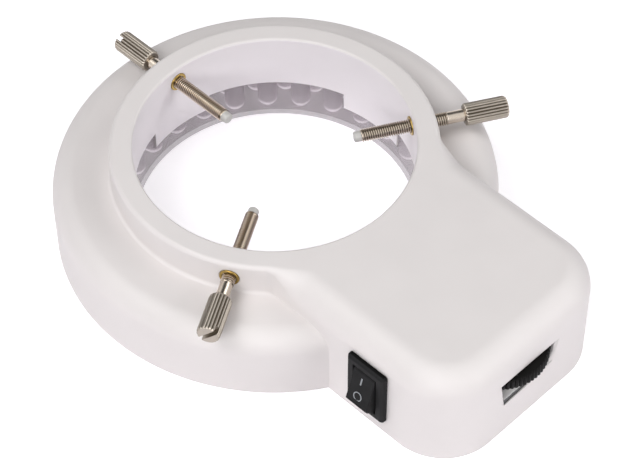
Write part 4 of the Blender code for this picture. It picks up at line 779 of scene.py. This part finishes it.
notch_half_angle = tab_half_angle + notch_spare_angle
for quarter in range(4):
    carve(lens, ring_piece("notch", lens_inner - over, lens_inner + skirt_wall + over,
                           90 * quarter - notch_half_angle, 90 * quarter + notch_half_angle,
                           tab_edge - gap, skirt_top + over))
shade(lens)
dress(lens, clear_lens)
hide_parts("lens_ring")
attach(lens, "housing")

# %% [markdown]
# ## The lights
# Each light is a small round body with a domed end, pointing down, and a plated cup on a post
# inside it. Through the lens the domes show as pale crescents. Every light could be turned in
# its place, but one is enough: it is made once and then copied round both rows.

# %% One light: body, cup and gel
led_radius, led_tip, led_top = 2.3 * MM, 1.2 * MM, 10.0 * MM
flange_radius, flange_bottom, flange_top = 2.4 * MM, led_top - 1.0 * MM, led_top - 0.1 * MM
flange_slope = 0.1 * MM
body_section = [(led_radius * math.sin(turn * DEGREE),
                 led_tip + led_radius * (1 - math.cos(turn * DEGREE)))
                for turn in range(0, 91, 10)]
body_section += [(led_radius, flange_bottom - flange_slope), (flange_radius, flange_bottom),
                 (flange_radius, flange_top), (0, flange_top)]
light_body = turn_section("light_body", body_section, 24)
cup_section = [(0, 6.0), (0.6, 6.0), (1.0, 5.4), (1.15, 5.4), (1.15, 6.4), (0.4, 6.5),
               (0.4, 9.2), (0, 9.2)]
light_cup = turn_section("light_cup", from_mm(cup_section), 16)
gel_section = [(0, 5.55), (0.5, 5.6), (0.85, 5.7), (0.6, 5.98), (0, 5.98)]
light_gel = turn_section("light_gel", from_mm(gel_section), 12)
for item, finish in ((light_body, led_epoxy), (light_cup, led_cup), (light_gel, led_phosphor)):
    smooth(item)
    dress(item, finish)
light = join_pieces("light", [light_body, light_cup, light_gel])


# %% Two rows of lights
def row_of_lights(name, orbit, count, phase):
    """Copy the one light round a circle, and make the copies one object."""
    copies = []
    for number in range(count):
        angle = phase + math.tau * number / count
        copy = copy_of(light, "light")
        copy.location = (orbit * math.cos(angle), orbit * math.sin(angle), 0)
        copies.append(copy)
    print(f"{name}: {count} lights")
    return settle(join_pieces(name, copies))


for name, node, orbit, count, phase in (
        ("lights_inner", "led_row_inner", 34.15 * MM, 28, 10.2 * DEGREE),
        ("lights_outer", "led_row_outer", 39.0 * MM, 36, 2.2 * DEGREE)):
    row = row_of_lights(name, orbit, count, phase)
    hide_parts(node)
    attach(row, "housing")
bpy.data.objects.remove(light)

# %% [markdown]
# ## The thumb screws
# A thumb screw has a fluted head with a slot in its end, a smooth neck, an M3 thread with a
# pitch of 0.5 mm and a short point that carries a nylon tip. Flutes could be cut one by one,
# but a head drawn as a wavy circle has them all at once, and gets its rounded ends from the
# same outline drawn in. All sizes are taken from the head's seat at the neck.

# %% The fluted head
def fluted_outline(radius, depth, height, flutes, points_each):
    """A circle of rounded ridges with a sharp groove between each two, as deep as given."""
    outline = []
    for step in range(flutes * points_each):
        turn = math.tau * step / (flutes * points_each)
        reach = radius - depth * (1 - abs(math.cos(turn * flutes / 2)))
        outline.append((reach * math.cos(turn), reach * math.sin(turn), height))
    return outline


head_radius, head_length, head_round, head_steps = 2.5 * MM, 9.8 * MM, 0.55 * MM, 4
flute_depth, flute_count, flute_points = 0.32 * MM, 20, 12
slot_half_width, slot_reach, slot_depth = 0.5 * MM, 4 * MM, 1.5 * MM
end_levels = []
for step in range(head_steps + 1):
    turn = math.pi / 2 * step / head_steps
    end_levels.append((head_round * (1 - math.sin(turn)), head_round * (1 - math.cos(turn))))
head_levels = end_levels + [(drawn_in, head_length - rise)
                            for drawn_in, rise in reversed(end_levels)]
screw_head = stack_outlines("screw_head", [
    fluted_outline(head_radius - drawn_in, max(0, flute_depth - drawn_in), height, flute_count,
                   flute_points)
    for drawn_in, height in head_levels])
carve(screw_head, block((-slot_half_width, -slot_reach, head_length - slot_depth),
                        (slot_half_width, slot_reach, head_length + over)))
print("head faces:", len(screw_head.data.polygons))

# %% [markdown]
# The thread is cut as on a lathe: one pitch of its section is wound round the axis by the Screw
# modifier, and the ends are then sawn off. Its flanks are steeper than a real thread's, because
# at this size only a steep flank draws the ribs clearly. Where the saw only just touches the
# winding, its fill can leave a face twice, back to back. Doubled faces make a mesh invalid, and
# no operator drops them, so a short loop does.

# %% The thread, wound from one pitch of its section
def drop_doubled_faces(item):
    """Delete each face that has the very same corners as one before it."""
    edit(item)
    mesh = bmesh.from_edit_mesh(item.data)
    known, doubled = set(), []
    for face in mesh.faces:
        corners = frozenset(face.verts)
        if corners in known:
            doubled.append(face)
        known.add(corners)
    bmesh.ops.delete(mesh, geom=doubled, context="FACES_ONLY")
    bmesh.update_edit_mesh(item.data)
    close_edit()
    print(item.name, "doubled faces dropped:", len(doubled))


pitch, thread_root, thread_crest = 0.5 * MM, 1.17 * MM, 1.48 * MM
thread_top, thread_end, screw_end = -3.9 * MM, -23.2 * MM, -23.4 * MM
spare_turns, steps_each_turn = 3, 24
turns = math.ceil((thread_top - thread_end) / pitch) + spare_turns
thread_section = [(thread_root, 0), (thread_root, 0.12 * MM), (thread_crest, 0.235 * MM),
                  (thread_crest, 0.39 * MM), (thread_root, pitch)]
thread = draw_line("thread", [(radius, 0, thread_end - pitch + place)
                              for radius, place in thread_section])
choose(thread)
winding = thread.modifiers.new("winding", "SCREW")
winding.axis = "Z"
winding.screw_offset = pitch
winding.iterations = turns
winding.steps = winding.render_steps = steps_each_turn
winding.use_merge_vertices = True
winding.merge_threshold = 0.002 * MM
bpy.ops.object.modifier_apply(modifier=winding.name)
for place, direction in ((thread_top, 1), (thread_end, -1)):
    edit(thread)
    bpy.ops.mesh.bisect(plane_co=(0, 0, place), plane_no=(0, 0, direction), use_fill=True,
                        clear_outer=True)
    close_edit()
tidy_mesh(thread)
drop_doubled_faces(thread)
print("thread faces:", len(thread.data.polygons), "turns:", turns)

# %% The neck and the point, joined with the head and the thread
neck_section = [(0, 0.4), (1.38, 0.4), (1.38, -3.85), (1.45, -3.95), (1.2, -4.3), (0, -4.3)]
screw_neck = turn_section("screw_neck", from_mm(neck_section), 40)
point_top, point_radius, point_bevel = -23.0 * MM, 1.3 * MM, 0.1 * MM
point_section = [(0, point_top), (1.18 * MM, point_top), (point_radius, -23.15 * MM),
                 (point_radius, screw_end + point_bevel),
                 (point_radius - point_bevel, screw_end), (0, screw_end)]
screw_point = turn_section("screw_point", point_section, 40)
for item, finish in ((screw_head, nickel_plate), (thread, nickel_thread),
                     (screw_neck, nickel_thread), (screw_point, nickel_thread)):
    shade(item, 50)
    dress(item, finish)
thumb_screw = join_pieces("thumb_screw", [screw_head, thread, screw_neck, screw_point])

# %% [markdown]
# The soft tip has a rounded end, and a peg that is pressed into the screw. Each screw runs in
# a turned brass bush that stands just proud of both faces of the collar. Both are turned on the
# real lamp, so both are spun here. The bush is the same at both ends, so half of its section is
# written down and the other half is that one turned over.

# %% The nylon tip and the brass bush
tip_end, tip_flat, tip_round, tip_foot = -25 * MM, 0.8 * MM, 0.4 * MM, -23.44 * MM
peg_radius, peg_top = 0.7 * MM, -22.0 * MM
tip_section = [(0, tip_end), (tip_flat, tip_end)]
tip_section += rounding((tip_flat, tip_end + tip_round), tip_round, -90, 0, 5)[1:]
tip_section += [(1.22 * MM, -23.5 * MM), (1.17 * MM, tip_foot), (peg_radius, tip_foot),
                (peg_radius, peg_top), (0, peg_top)]
soft_tip = turn_section("soft_tip", tip_section, 40)
shade(soft_tip)
dress(soft_tip, natural_nylon)

proud, collar_wall = 0.25 * MM, collar_radius - bore_radius
bush_bore, bush_radius, lip_radius, lip_round = 1.53 * MM, 2.1 * MM, 2.15 * MM, 0.15 * MM
half_bush = [(bush_bore, 0), (1.62 * MM, -proud)]
half_bush += rounding((lip_radius - lip_round, lip_round - proud), lip_round, -90, 0, 3)
half_bush += [(lip_radius, 0.05 * MM), (bush_radius, 0.15 * MM)]
bush_section = half_bush + [(radius, collar_wall - place) for radius, place
                            in reversed(half_bush)] + half_bush[:1]
bush = turn_section("bush", bush_section, 48)
shade(bush)
dress(bush, turned_brass)

# %% [markdown]
# The three screws are backed out by different amounts, and each stopped with its slot at its
# own angle. One of each piece is copied, turned about its own axis and then laid down.

# %% Three screws in the collar, each with its own copies
backed_out = (3.35 * MM, 6.75 * MM, 5.75 * MM)
slot_turns = (59 * DEGREE, 52 * DEGREE, 41 * DEGREE)
for number, (angle, out, slot_turn) in enumerate(zip(screw_angles, backed_out, slot_turns),
                                                 start=1):
    seat = collar_radius + proud + out
    for pattern, distance, node, body, slot in (
            (thumb_screw, seat, "thumb_screw", f"screw_{number}", "nickel_plate"),
            (soft_tip, seat, "nylon_tip", f"tip_{number}", "nylon"),
            (bush, bore_radius, "brass_insert", "housing", "brass")):
        piece = copy_of(pattern, f"{pattern.name}_{number}")
        piece.rotation_euler.z = slot_turn
        stand_radially(settle(piece), angle, distance, screw_height)
        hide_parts(f"{node}_{number}")
        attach(piece, body)
    print("screw", number, "stands out by", round((seat - collar_radius) / MM, 2), "mm")
for pattern in (thumb_screw, soft_tip, bush):
    bpy.data.objects.remove(pattern)

# %% [markdown]
# ## The rocker switch
# A small snap-in rocker switch: a bezel with bevelled edges, a pocket, and a paddle. The
# bezel's front has two bevels of different widths, which one Bevel modifier can't give, so it
# is stacked from four outlines.

# %% The bezel and the body behind it
def rounded_box_outline(half_width, half_height, corner):
    """Points of a rectangle with rounded corners."""
    outline = []
    for side, rise, start in ((1, 1, 0), (-1, 1, 90), (-1, -1, 180), (1, -1, 270)):
        outline += rounding((side * (half_width - corner), rise * (half_height - corner)),
                            corner, start, start + 90, 5)
    return outline


bezel_width_mm, bezel_height_mm, bezel_corner_mm = 5.15, 7.48, 0.7
bezel_levels_mm = ((-0.15, 0), (-0.95, 0.05), (-1.35, 0.35), (-1.55, 0.75))
body_half_width, body_half_height, body_depth = 4.2 * MM, 6.4 * MM, 10.0 * MM
pocket_half_width, pocket_half_height, pocket_depth = 3.2 * MM, 5.55 * MM, 3.65 * MM
painted_dark_top_height = switch_z + 7 * MM
bezel = stack_outlines("switch_bezel", [
    [(depth * MM, y, z) for y, z in rounded_box_outline((bezel_width_mm - inset) * MM,
                                                        (bezel_height_mm - inset) * MM,
                                                        (bezel_corner_mm - inset / 2) * MM)]
    for depth, inset in bezel_levels_mm])
carve(bezel, block((-0.2 * MM, -body_half_width, -body_half_height),
                   (body_depth, body_half_width, body_half_height)), "UNION")
carve(bezel, block((-3 * MM, -pocket_half_width, -pocket_half_height),
                   (pocket_depth, pocket_half_width, pocket_half_height)))
round_edges(bezel, 0.12 * MM, 2)
bezel.location = (-box_half_width, switch_y, switch_z)
settle(bezel)
shade(bezel)
dress(bezel, black_switch, black_painted_darker_on_top)
# Faces that look up on the bezel's upper side take the finish painted darker: painted shade.
for face in bezel.data.polygons:
    if face.normal.z > 0.9 and face.center.z > painted_dark_top_height:
        face.material_index = 1
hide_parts("switch_frame")
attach(bezel, "housing")

# %% [markdown]
# The paddle's ends are arcs about its pivot, so that they keep filling the pocket as it rocks.
# It is drawn upright from the side, and then tilted: its upper end is pressed in, as on the
# photographed lamp.

# %% The paddle, tilted about its pivot
paddle_pivot = Vector((-25.05 * MM, switch_y, switch_z))
paddle_tilt, paddle_half_width = 17 * DEGREE, 2.95 * MM
axle_reach, axle_radius = 3.85 * MM, 0.6 * MM
paddle_side = [(2.4, 1.2), (0.9, 3.4)] + rounding((0, 0), 5.3, 90, 129.4, 8)
paddle_side += [(-3.3, 2.7), (-3.26, 0)]
paddle_side += [(x, -z) for x, z in reversed(paddle_side[:-1])]
paddle = stack_outlines("paddle", [[(x, y, z) for x, z in from_mm(paddle_side)]
                                   for y in (-paddle_half_width, paddle_half_width)])
round_edges(paddle, 0.2 * MM, 3, angle=30)
carve(paddle, rod((0, -axle_reach, 0), (0, axle_reach, 0), axle_radius, 24), "UNION")


def tilt_with_paddle(item):
    """Turn a piece from the paddle's upright position into its resting tilt, in place."""
    item.matrix_world = (Matrix.Translation(paddle_pivot)
                         @ Matrix.Rotation(paddle_tilt, 4, "Y") @ item.matrix_world)
    settle(item)


tilt_with_paddle(paddle)
shade(paddle)
dress(paddle, black_switch)
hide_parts("switch_paddle")
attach(paddle, "paddle")

# %% [markdown]
# The marks for on and off are pad printed. An image could carry them, but two thin raised
# shapes stay sharp in any view. As such prints often do, they sit a little off the middle.

# %% The printed marks
def print_on_paddle(item, y, z, depth):
    """Lay a flat mark on the paddle's face, at a height above or below its middle."""
    item.matrix_world = (Matrix.Translation((depth, y, z))
                         @ Matrix.Rotation(-math.pi / 2, 4, "Y"))
    settle(item)
    tilt_with_paddle(item)
    smooth(item)
    dress(item, print_ink)
    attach(item, "paddle")


ink_bottom, ink_top = -0.06 * MM, 0.02 * MM
mark_on = stack_outlines("mark_on", [
    [(x, y, height) for x, y in rounded_box_outline(1.05 * MM, 0.17 * MM, 0.1 * MM)]
    for height in (ink_bottom, ink_top)])
print_on_paddle(mark_on, 0.25 * MM, 2.2 * MM, -3.29 * MM)
ring_inner, ring_outer = 0.88 * MM, 1.1 * MM
mark_off = turn_section("mark_off", [(ring_inner, ink_bottom), (ring_outer, ink_bottom),
                                     (ring_outer, ink_top), (ring_inner, ink_top),
                                     (ring_inner, ink_bottom)], 40)
print_on_paddle(mark_off, 0.2 * MM, -1.9 * MM, -3.285 * MM)

# %% [markdown]
# ## The dimmer's wheel
# The wheel is a ribbed disc of black acetal. Many fine ribs run round its rim, and the rim is
# bevelled on both sides. It is drawn like the heads of the screws, as a wavy circle, and the
# waves get shallower where the circle is drawn in for the bevels.

# %% Wheel
wheel_radius, wheel_bottom = 10.65 * MM, 13.0 * MM
rib_depth, rib_count, rib_points = 0.42 * MM, 68, 8
wheel_levels = ((0, 0.3, 0.3), (0.12, 0.1, 0.8), (0.3, 0, 1), (2.5, 0, 1), (2.68, 0.1, 0.8),
                (2.8, 0.3, 0.3))
wheel = stack_outlines("wheel", [
    fluted_outline(wheel_radius - inset * MM, rib_depth * share, level * MM, rib_count,
                   rib_points)
    for level, inset, share in wheel_levels])
recess_floor, recess_radius, tool_top = 2.2 * MM, 6.5 * MM, 5 * MM
hub_bottom, hub_top, hub_radius = -1.1 * MM, 1.5 * MM, 1.7 * MM
shaft_radius = 1.15 * MM
carve(wheel, rod((0, 0, recess_floor), (0, 0, tool_top), recess_radius))
carve(wheel, rod((0, 0, hub_bottom), (0, 0, hub_top), hub_radius), "UNION")
carve(wheel, rod((0, 0, -3 * over), (0, 0, tool_top), shaft_radius))
wheel.location = (wheel_x, wheel_y, wheel_bottom)
settle(wheel)
shade(wheel)
dress(wheel, black_wheel)
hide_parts("dimmer_wheel")
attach(wheel, "dial")

# %% [markdown]
# ## The control board
# The board lies flat in the box, narrow at the wheel and wide at the socket. Its tongue is a
# little lower and reaches into the wheel's slot, where its white top and its dark edge show
# under the wheel. The edge's dark grey is partly painted shade.

# %% Control board
board_bottom, board_top = 9.7 * MM, 10.9 * MM
board_front, board_shoulder, board_back = -72.1 * MM, -58.4 * MM, -48.6 * MM
board_side, board_nose, board_tail = 15.807 * MM, 11.007 * MM, 22.65 * MM
board_neck, board_corner, tongue_overlap = -7.0 * MM, 3.5 * MM, 0.6 * MM
small_screw_hole = 1.15 * MM
board_holes = from_mm([(-13.407, -60.887), (11.624, -61.455), (3.3, -51.2)])
board_outline = [
    (-board_nose, board_front), (board_nose, board_front),
    (board_side, board_front + board_corner), (board_side, board_shoulder),
    (board_tail, board_shoulder), (board_tail, board_back), (board_neck, board_back),
    (board_neck, board_shoulder), (-board_side, board_shoulder),
    (-board_side, board_front + board_corner)]
board = stack_outlines("board", [[(x, y, height) for x, y in board_outline]
                                 for height in (board_bottom, board_top)])
for x, y in board_holes:
    carve(board, rod((x, y, board_bottom - over), (x, y, board_top + over), small_screw_hole))
carve(board, block((tongue_left, tongue_end, tongue_low),
                   (tongue_right, board_front + tongue_overlap, tongue_high)), "UNION")
round_edges(board, 0.06 * MM, 1)
shade(board)
dress(board, board_mask)
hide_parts("control_board")
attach(board, "housing")

# %% [markdown]
# ## The base cover and its screws
# The cover closes the box from below. It is a flat moulding with softened edges, hollow where
# it meets the lens's rim, and four pan head screws sit in its counterbores. Its outline follows
# from the box's, less the wall and a gap all round.

# %% Cover
cover_thickness, counterbore_radius, counterbore_depth = 2.4 * MM, 2.2 * MM, 1.4 * MM
half_width = box_half_width - wall - gap
reach, corner = box_reach - wall - gap, box_corner - wall - gap
back_radius = lens_outer + 2 * gap
back_angle = math.degrees(math.acos(half_width / back_radius))
cover_outline = rounding((0, 0), back_radius, back_angle - 180, -back_angle, 60)
cover_outline += rounding((half_width - corner, corner - reach), corner, 0, -90, 16)
cover_outline += rounding((corner - half_width, corner - reach), corner, -90, -180, 16)
cover = stack_outlines("cover", [[(x, y, height) for x, y in cover_outline]
                                 for height in (0, cover_thickness)])
screw_side, screw_back, screw_front = 19.1 * MM, -45.667 * MM, -63.5 * MM
screw_places = [(screw_side, screw_back), (screw_side, screw_front),
                (-screw_side, screw_front), (-screw_side, screw_back)]
for x, y in screw_places:
    carve(cover, rod((x, y, -over), (x, y, cover_thickness + over), small_screw_hole))
    carve(cover, rod((x, y, -over), (x, y, counterbore_depth), counterbore_radius))
round_edges(cover, 0.25 * MM, 2)
shade(cover)
dress(cover, white_abs)
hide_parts("base_cover")
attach(cover, "housing")

# %% [markdown]
# A pan head is a flat disc with a generous rounding, and its cross drive is stamped in. Nobody
# lines up the crosses of four screws, so each copy is turned by another angle.

# %% Pan head screws
pan_radius, pan_power = 1.9, 0.8
pan_section = [(0, -1.25)] + [(pan_radius * math.sin(turn * DEGREE) ** pan_power,
                               -0.55 - 0.7 * math.cos(turn * DEGREE))
                              for turn in range(20, 91, 14)]
pan_section += [(pan_radius, -0.15), (1.0, -0.15), (1.0, 5.7), (0, 6.7)]
pan_screw = turn_section("pan_screw", from_mm(pan_section), 40)
arm_reach, arm_half_width, arm_top, first_turn = 1.15 * MM, 0.25 * MM, -0.7 * MM, 20
for turn in (0, 90):
    arm = block((-arm_reach, -arm_half_width, -3 * MM), (arm_reach, arm_half_width, arm_top))
    arm.rotation_euler.z = (turn + first_turn) * DEGREE
    carve(pan_screw, settle(arm))
shade(pan_screw)
dress(pan_screw, zinc_plate)
for number, (x, y) in enumerate(screw_places, start=1):
    piece = copy_of(pan_screw, f"pan_screw_{number}")
    piece.rotation_euler.z = 37 * number * DEGREE
    piece.location = (x, y, counterbore_depth)
    settle(piece)
    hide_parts(f"cover_screw_{number}")
    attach(piece, "housing")
bpy.data.objects.remove(pan_screw)

# %% [markdown]
# ## The power socket
# A board-mounted socket whose round nose fills the hole in the box's side. A plated pin stands
# in the middle of its bore. The body is a moulded block with the nose added and the bore cut
# out, so that all three keep their real sizes, and its edges are rounded last.

# %% Socket and pin
socket_start, socket_front, socket_half_width = 13.5 * MM, 23.0 * MM, 4.5 * MM
socket_bottom, socket_top = 11.2 * MM, 19.4 * MM
nose_start, nose_radius, nose_bore = 22 * MM, 3.9 * MM, 2.8 * MM
socket_end, bore_depth, pin_depth = box_half_width - 0.4 * MM, 9 * MM, 10.5 * MM
socket = block((socket_start, jack_y - socket_half_width, socket_bottom),
               (socket_front, jack_y + socket_half_width, socket_top))
socket.name = "socket"
carve(socket, rod((nose_start, jack_y, jack_z), (socket_end, jack_y, jack_z), nose_radius, 72),
      "UNION")
carve(socket, rod((socket_end - bore_depth, jack_y, jack_z),
                  (socket_end + over, jack_y, jack_z), nose_bore, 64))
round_edges(socket, 0.2 * MM, 3)
shade(socket)
dress(socket, black_switch)
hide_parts("power_socket")
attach(socket, "housing")

pin_section = [(0, 0), (1.0, 0), (1.0, 8.9), (0.85, 9.2), (0.5, 9.45), (0, 9.5)]
pin = turn_section("socket_pin_fine", from_mm(pin_section), 32)
pin.rotation_euler = (0, math.pi / 2, 0)
pin.location = (socket_end - pin_depth, jack_y, jack_z)
settle(pin)
shade(pin)
dress(pin, nickel_plate)
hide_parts("socket_pin")
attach(pin, "housing")

# %% [markdown]
# ## The solids that stay
# The light board, the small screws, the parts on the control board and the leads keep the CAD's
# own shapes, because the closed lamp hides them. Each gets the finish of its material slot.

# %% Finishes for the solids that stay
slot_finish = {
    "white_abs": white_abs, "clear_polycarbonate": clear_lens, "white_board": board_mask,
    "led_epoxy": led_epoxy, "nickel_plate": nickel_plate, "brass": turned_brass,
    "nylon": natural_nylon, "black_plastic": black_switch, "zinc_steel": zinc_plate,
    "tinned_brass": tin_plate, "can_sleeve": can_sleeve, "ferrite": ferrite,
    "resistor_body": lacquer, "red_lead": red_pvc, "black_lead": black_pvc}
for part in frame["record"]["subparts"]:
    for holder in nodes[part["node"]].material_slots:
        holder.material = slot_finish[part["material_slot"]]

# %% [markdown]
# ## Camera, floor and light
# The lamp was photographed from above its switch side, with a long lens. A camera can be set by
# its place and two angles about the point that it looks at, which are easier to match to a
# photograph than free coordinates.

# %% Camera
camera_data = bpy.data.cameras.new("camera")
camera_data.lens = 137.17
camera_data.sensor_width = 36
camera_data.clip_start = 0.01
camera = bpy.data.objects.new("camera", camera_data)
bpy.context.scene.collection.objects.link(camera)
target, camera_distance_mm = Vector((2.652, -9.372, 0)) * MM, 529.98
azimuth, elevation, roll = -44.962 * DEGREE, 49.682 * DEGREE, -0.359 * DEGREE
direction = Vector((math.sin(azimuth) * math.cos(elevation),
                    -math.cos(azimuth) * math.cos(elevation), math.sin(elevation)))
camera.location = target + direction * camera_distance_mm * MM
camera.rotation_euler = (direction.to_track_quat("Z", "Y").to_matrix()
                         @ Matrix.Rotation(roll, 3, "Z")).to_euler()
bpy.context.scene.camera = camera
print("camera at mm:", [round(value / MM, 1) for value in camera.location])

# %% [markdown]
# The floor and the backdrop are plain white. More light would bleach the lamp with them, so
# they only look white: the extra brightness is for the camera, for reflections and for what
# shows through clear parts, and adds nothing to the light on the lamp. A dark ceiling, which
# only mirrored rays meet, draws the dark lines along the plated screws.

# %% Floor and backdrop
def glow_for_the_eye(material, surface, strength):
    """Add brightness that only camera, glossy and transmission rays see."""
    path = add_node(material, "ShaderNodeLightPath")
    seen = add_node(material, "ShaderNodeMath", {0: path.outputs["Is Camera Ray"],
                                                 1: path.outputs["Is Glossy Ray"]},
                    operation="MAXIMUM")
    seen = add_node(material, "ShaderNodeMath", {0: seen.outputs[0],
                                                 1: path.outputs["Is Transmission Ray"]},
                    operation="MAXIMUM")
    level = add_node(material, "ShaderNodeMath", {0: seen.outputs[0], 1: strength},
                     operation="MULTIPLY")
    glow = add_node(material, "ShaderNodeEmission", {"Strength": level.outputs[0]})
    both = add_node(material, "ShaderNodeAddShader", {0: surface, 1: glow.outputs[0]})
    link(material, both.outputs[0], material.node_tree.nodes["Material Output"], "Surface")


floor_width, floor_height, floor_glow = 3, -0.05 * MM, 0.5
bpy.ops.object.select_all(action="DESELECT")
bpy.ops.mesh.primitive_plane_add(size=floor_width, location=(0, 0, floor_height))
floor = settle(bpy.context.object)
floor.name = "floor"
floor_paper, shader = new_finish("floor_paper")
shader.inputs["Base Color"].default_value = srgb("#F3F0F5")
shader.inputs["Roughness"].default_value = 0.9
shader.inputs["Specular IOR Level"].default_value = 0.1
glow_for_the_eye(floor_paper, shader.outputs[0], floor_glow)
dress(floor, floor_paper)

world = bpy.data.worlds.new("studio")
world.use_nodes = True
bpy.context.scene.world = world
background = world.node_tree.nodes["Background"]
background.inputs["Color"].default_value = (1, 1, 1, 1)
ceiling = Vector((0.55, 0.35, 0.76)).normalized()
ceiling_edge, ceiling_middle, room_level = 0.82, 0.94, 0.1
light_path = add_node(world, "ShaderNodeLightPath")
sky = add_node(world, "ShaderNodeTexCoord")
closeness = add_node(world, "ShaderNodeVectorMath",
                     {0: sky.outputs["Object"], 1: ceiling}, operation="DOT_PRODUCT")
ceiling_level = add_node(world, "ShaderNodeMapRange",
                         {"Value": closeness.outputs["Value"], "From Min": ceiling_edge,
                          "From Max": ceiling_middle, "To Min": 1.0, "To Max": 0.0})
mirrored = add_node(world, "ShaderNodeMath", {0: light_path.outputs["Is Glossy Ray"],
                                              1: ceiling_level.outputs[0]},
                    operation="MULTIPLY")
seen = add_node(world, "ShaderNodeMath", {0: light_path.outputs["Is Camera Ray"],
                                          1: light_path.outputs["Is Transmission Ray"]},
                operation="MAXIMUM")
seen = add_node(world, "ShaderNodeMath", {0: seen.outputs[0], 1: mirrored.outputs[0]},
                operation="MAXIMUM")
level = add_node(world, "ShaderNodeMapRange",
                 {"Value": seen.outputs[0], "To Min": room_level, "To Max": 1.0})
link(world, level.outputs[0], background, "Strength")
bpy.context.scene.view_settings.view_transform = "Standard"
print("room level:", room_level, "of the backdrop's")

# %% [markdown]
# Four large square lights stand round the lamp, as softboxes do in a product studio. Large ones
# leave soft shadows and broad gleams on the plated heads. Their powers are the least that
# brings the white housing close to its own colour, so that nothing pale is burnt out.

# %% Lamps
def softbox(name, place_mm, power):
    """A large square area light that points at the lamp."""
    data = bpy.data.lights.new(name, "AREA")
    data.energy = power
    data.size = softbox_size
    item = bpy.data.objects.new(name, data)
    bpy.context.scene.collection.objects.link(item)
    item.location = Vector(place_mm) * MM
    item.rotation_euler = item.location.to_track_quat("Z", "Y").to_euler()
    print("softbox:", name, power, "W")


softbox_size = 500 * MM
softbox("front", (-687, -365, 545), 4.25)
softbox("top", (-411, 238, 823), 3.8)
softbox("right", (294, -809, 401), 2.95)
softbox("back", (631, -230, 672), 1.6)
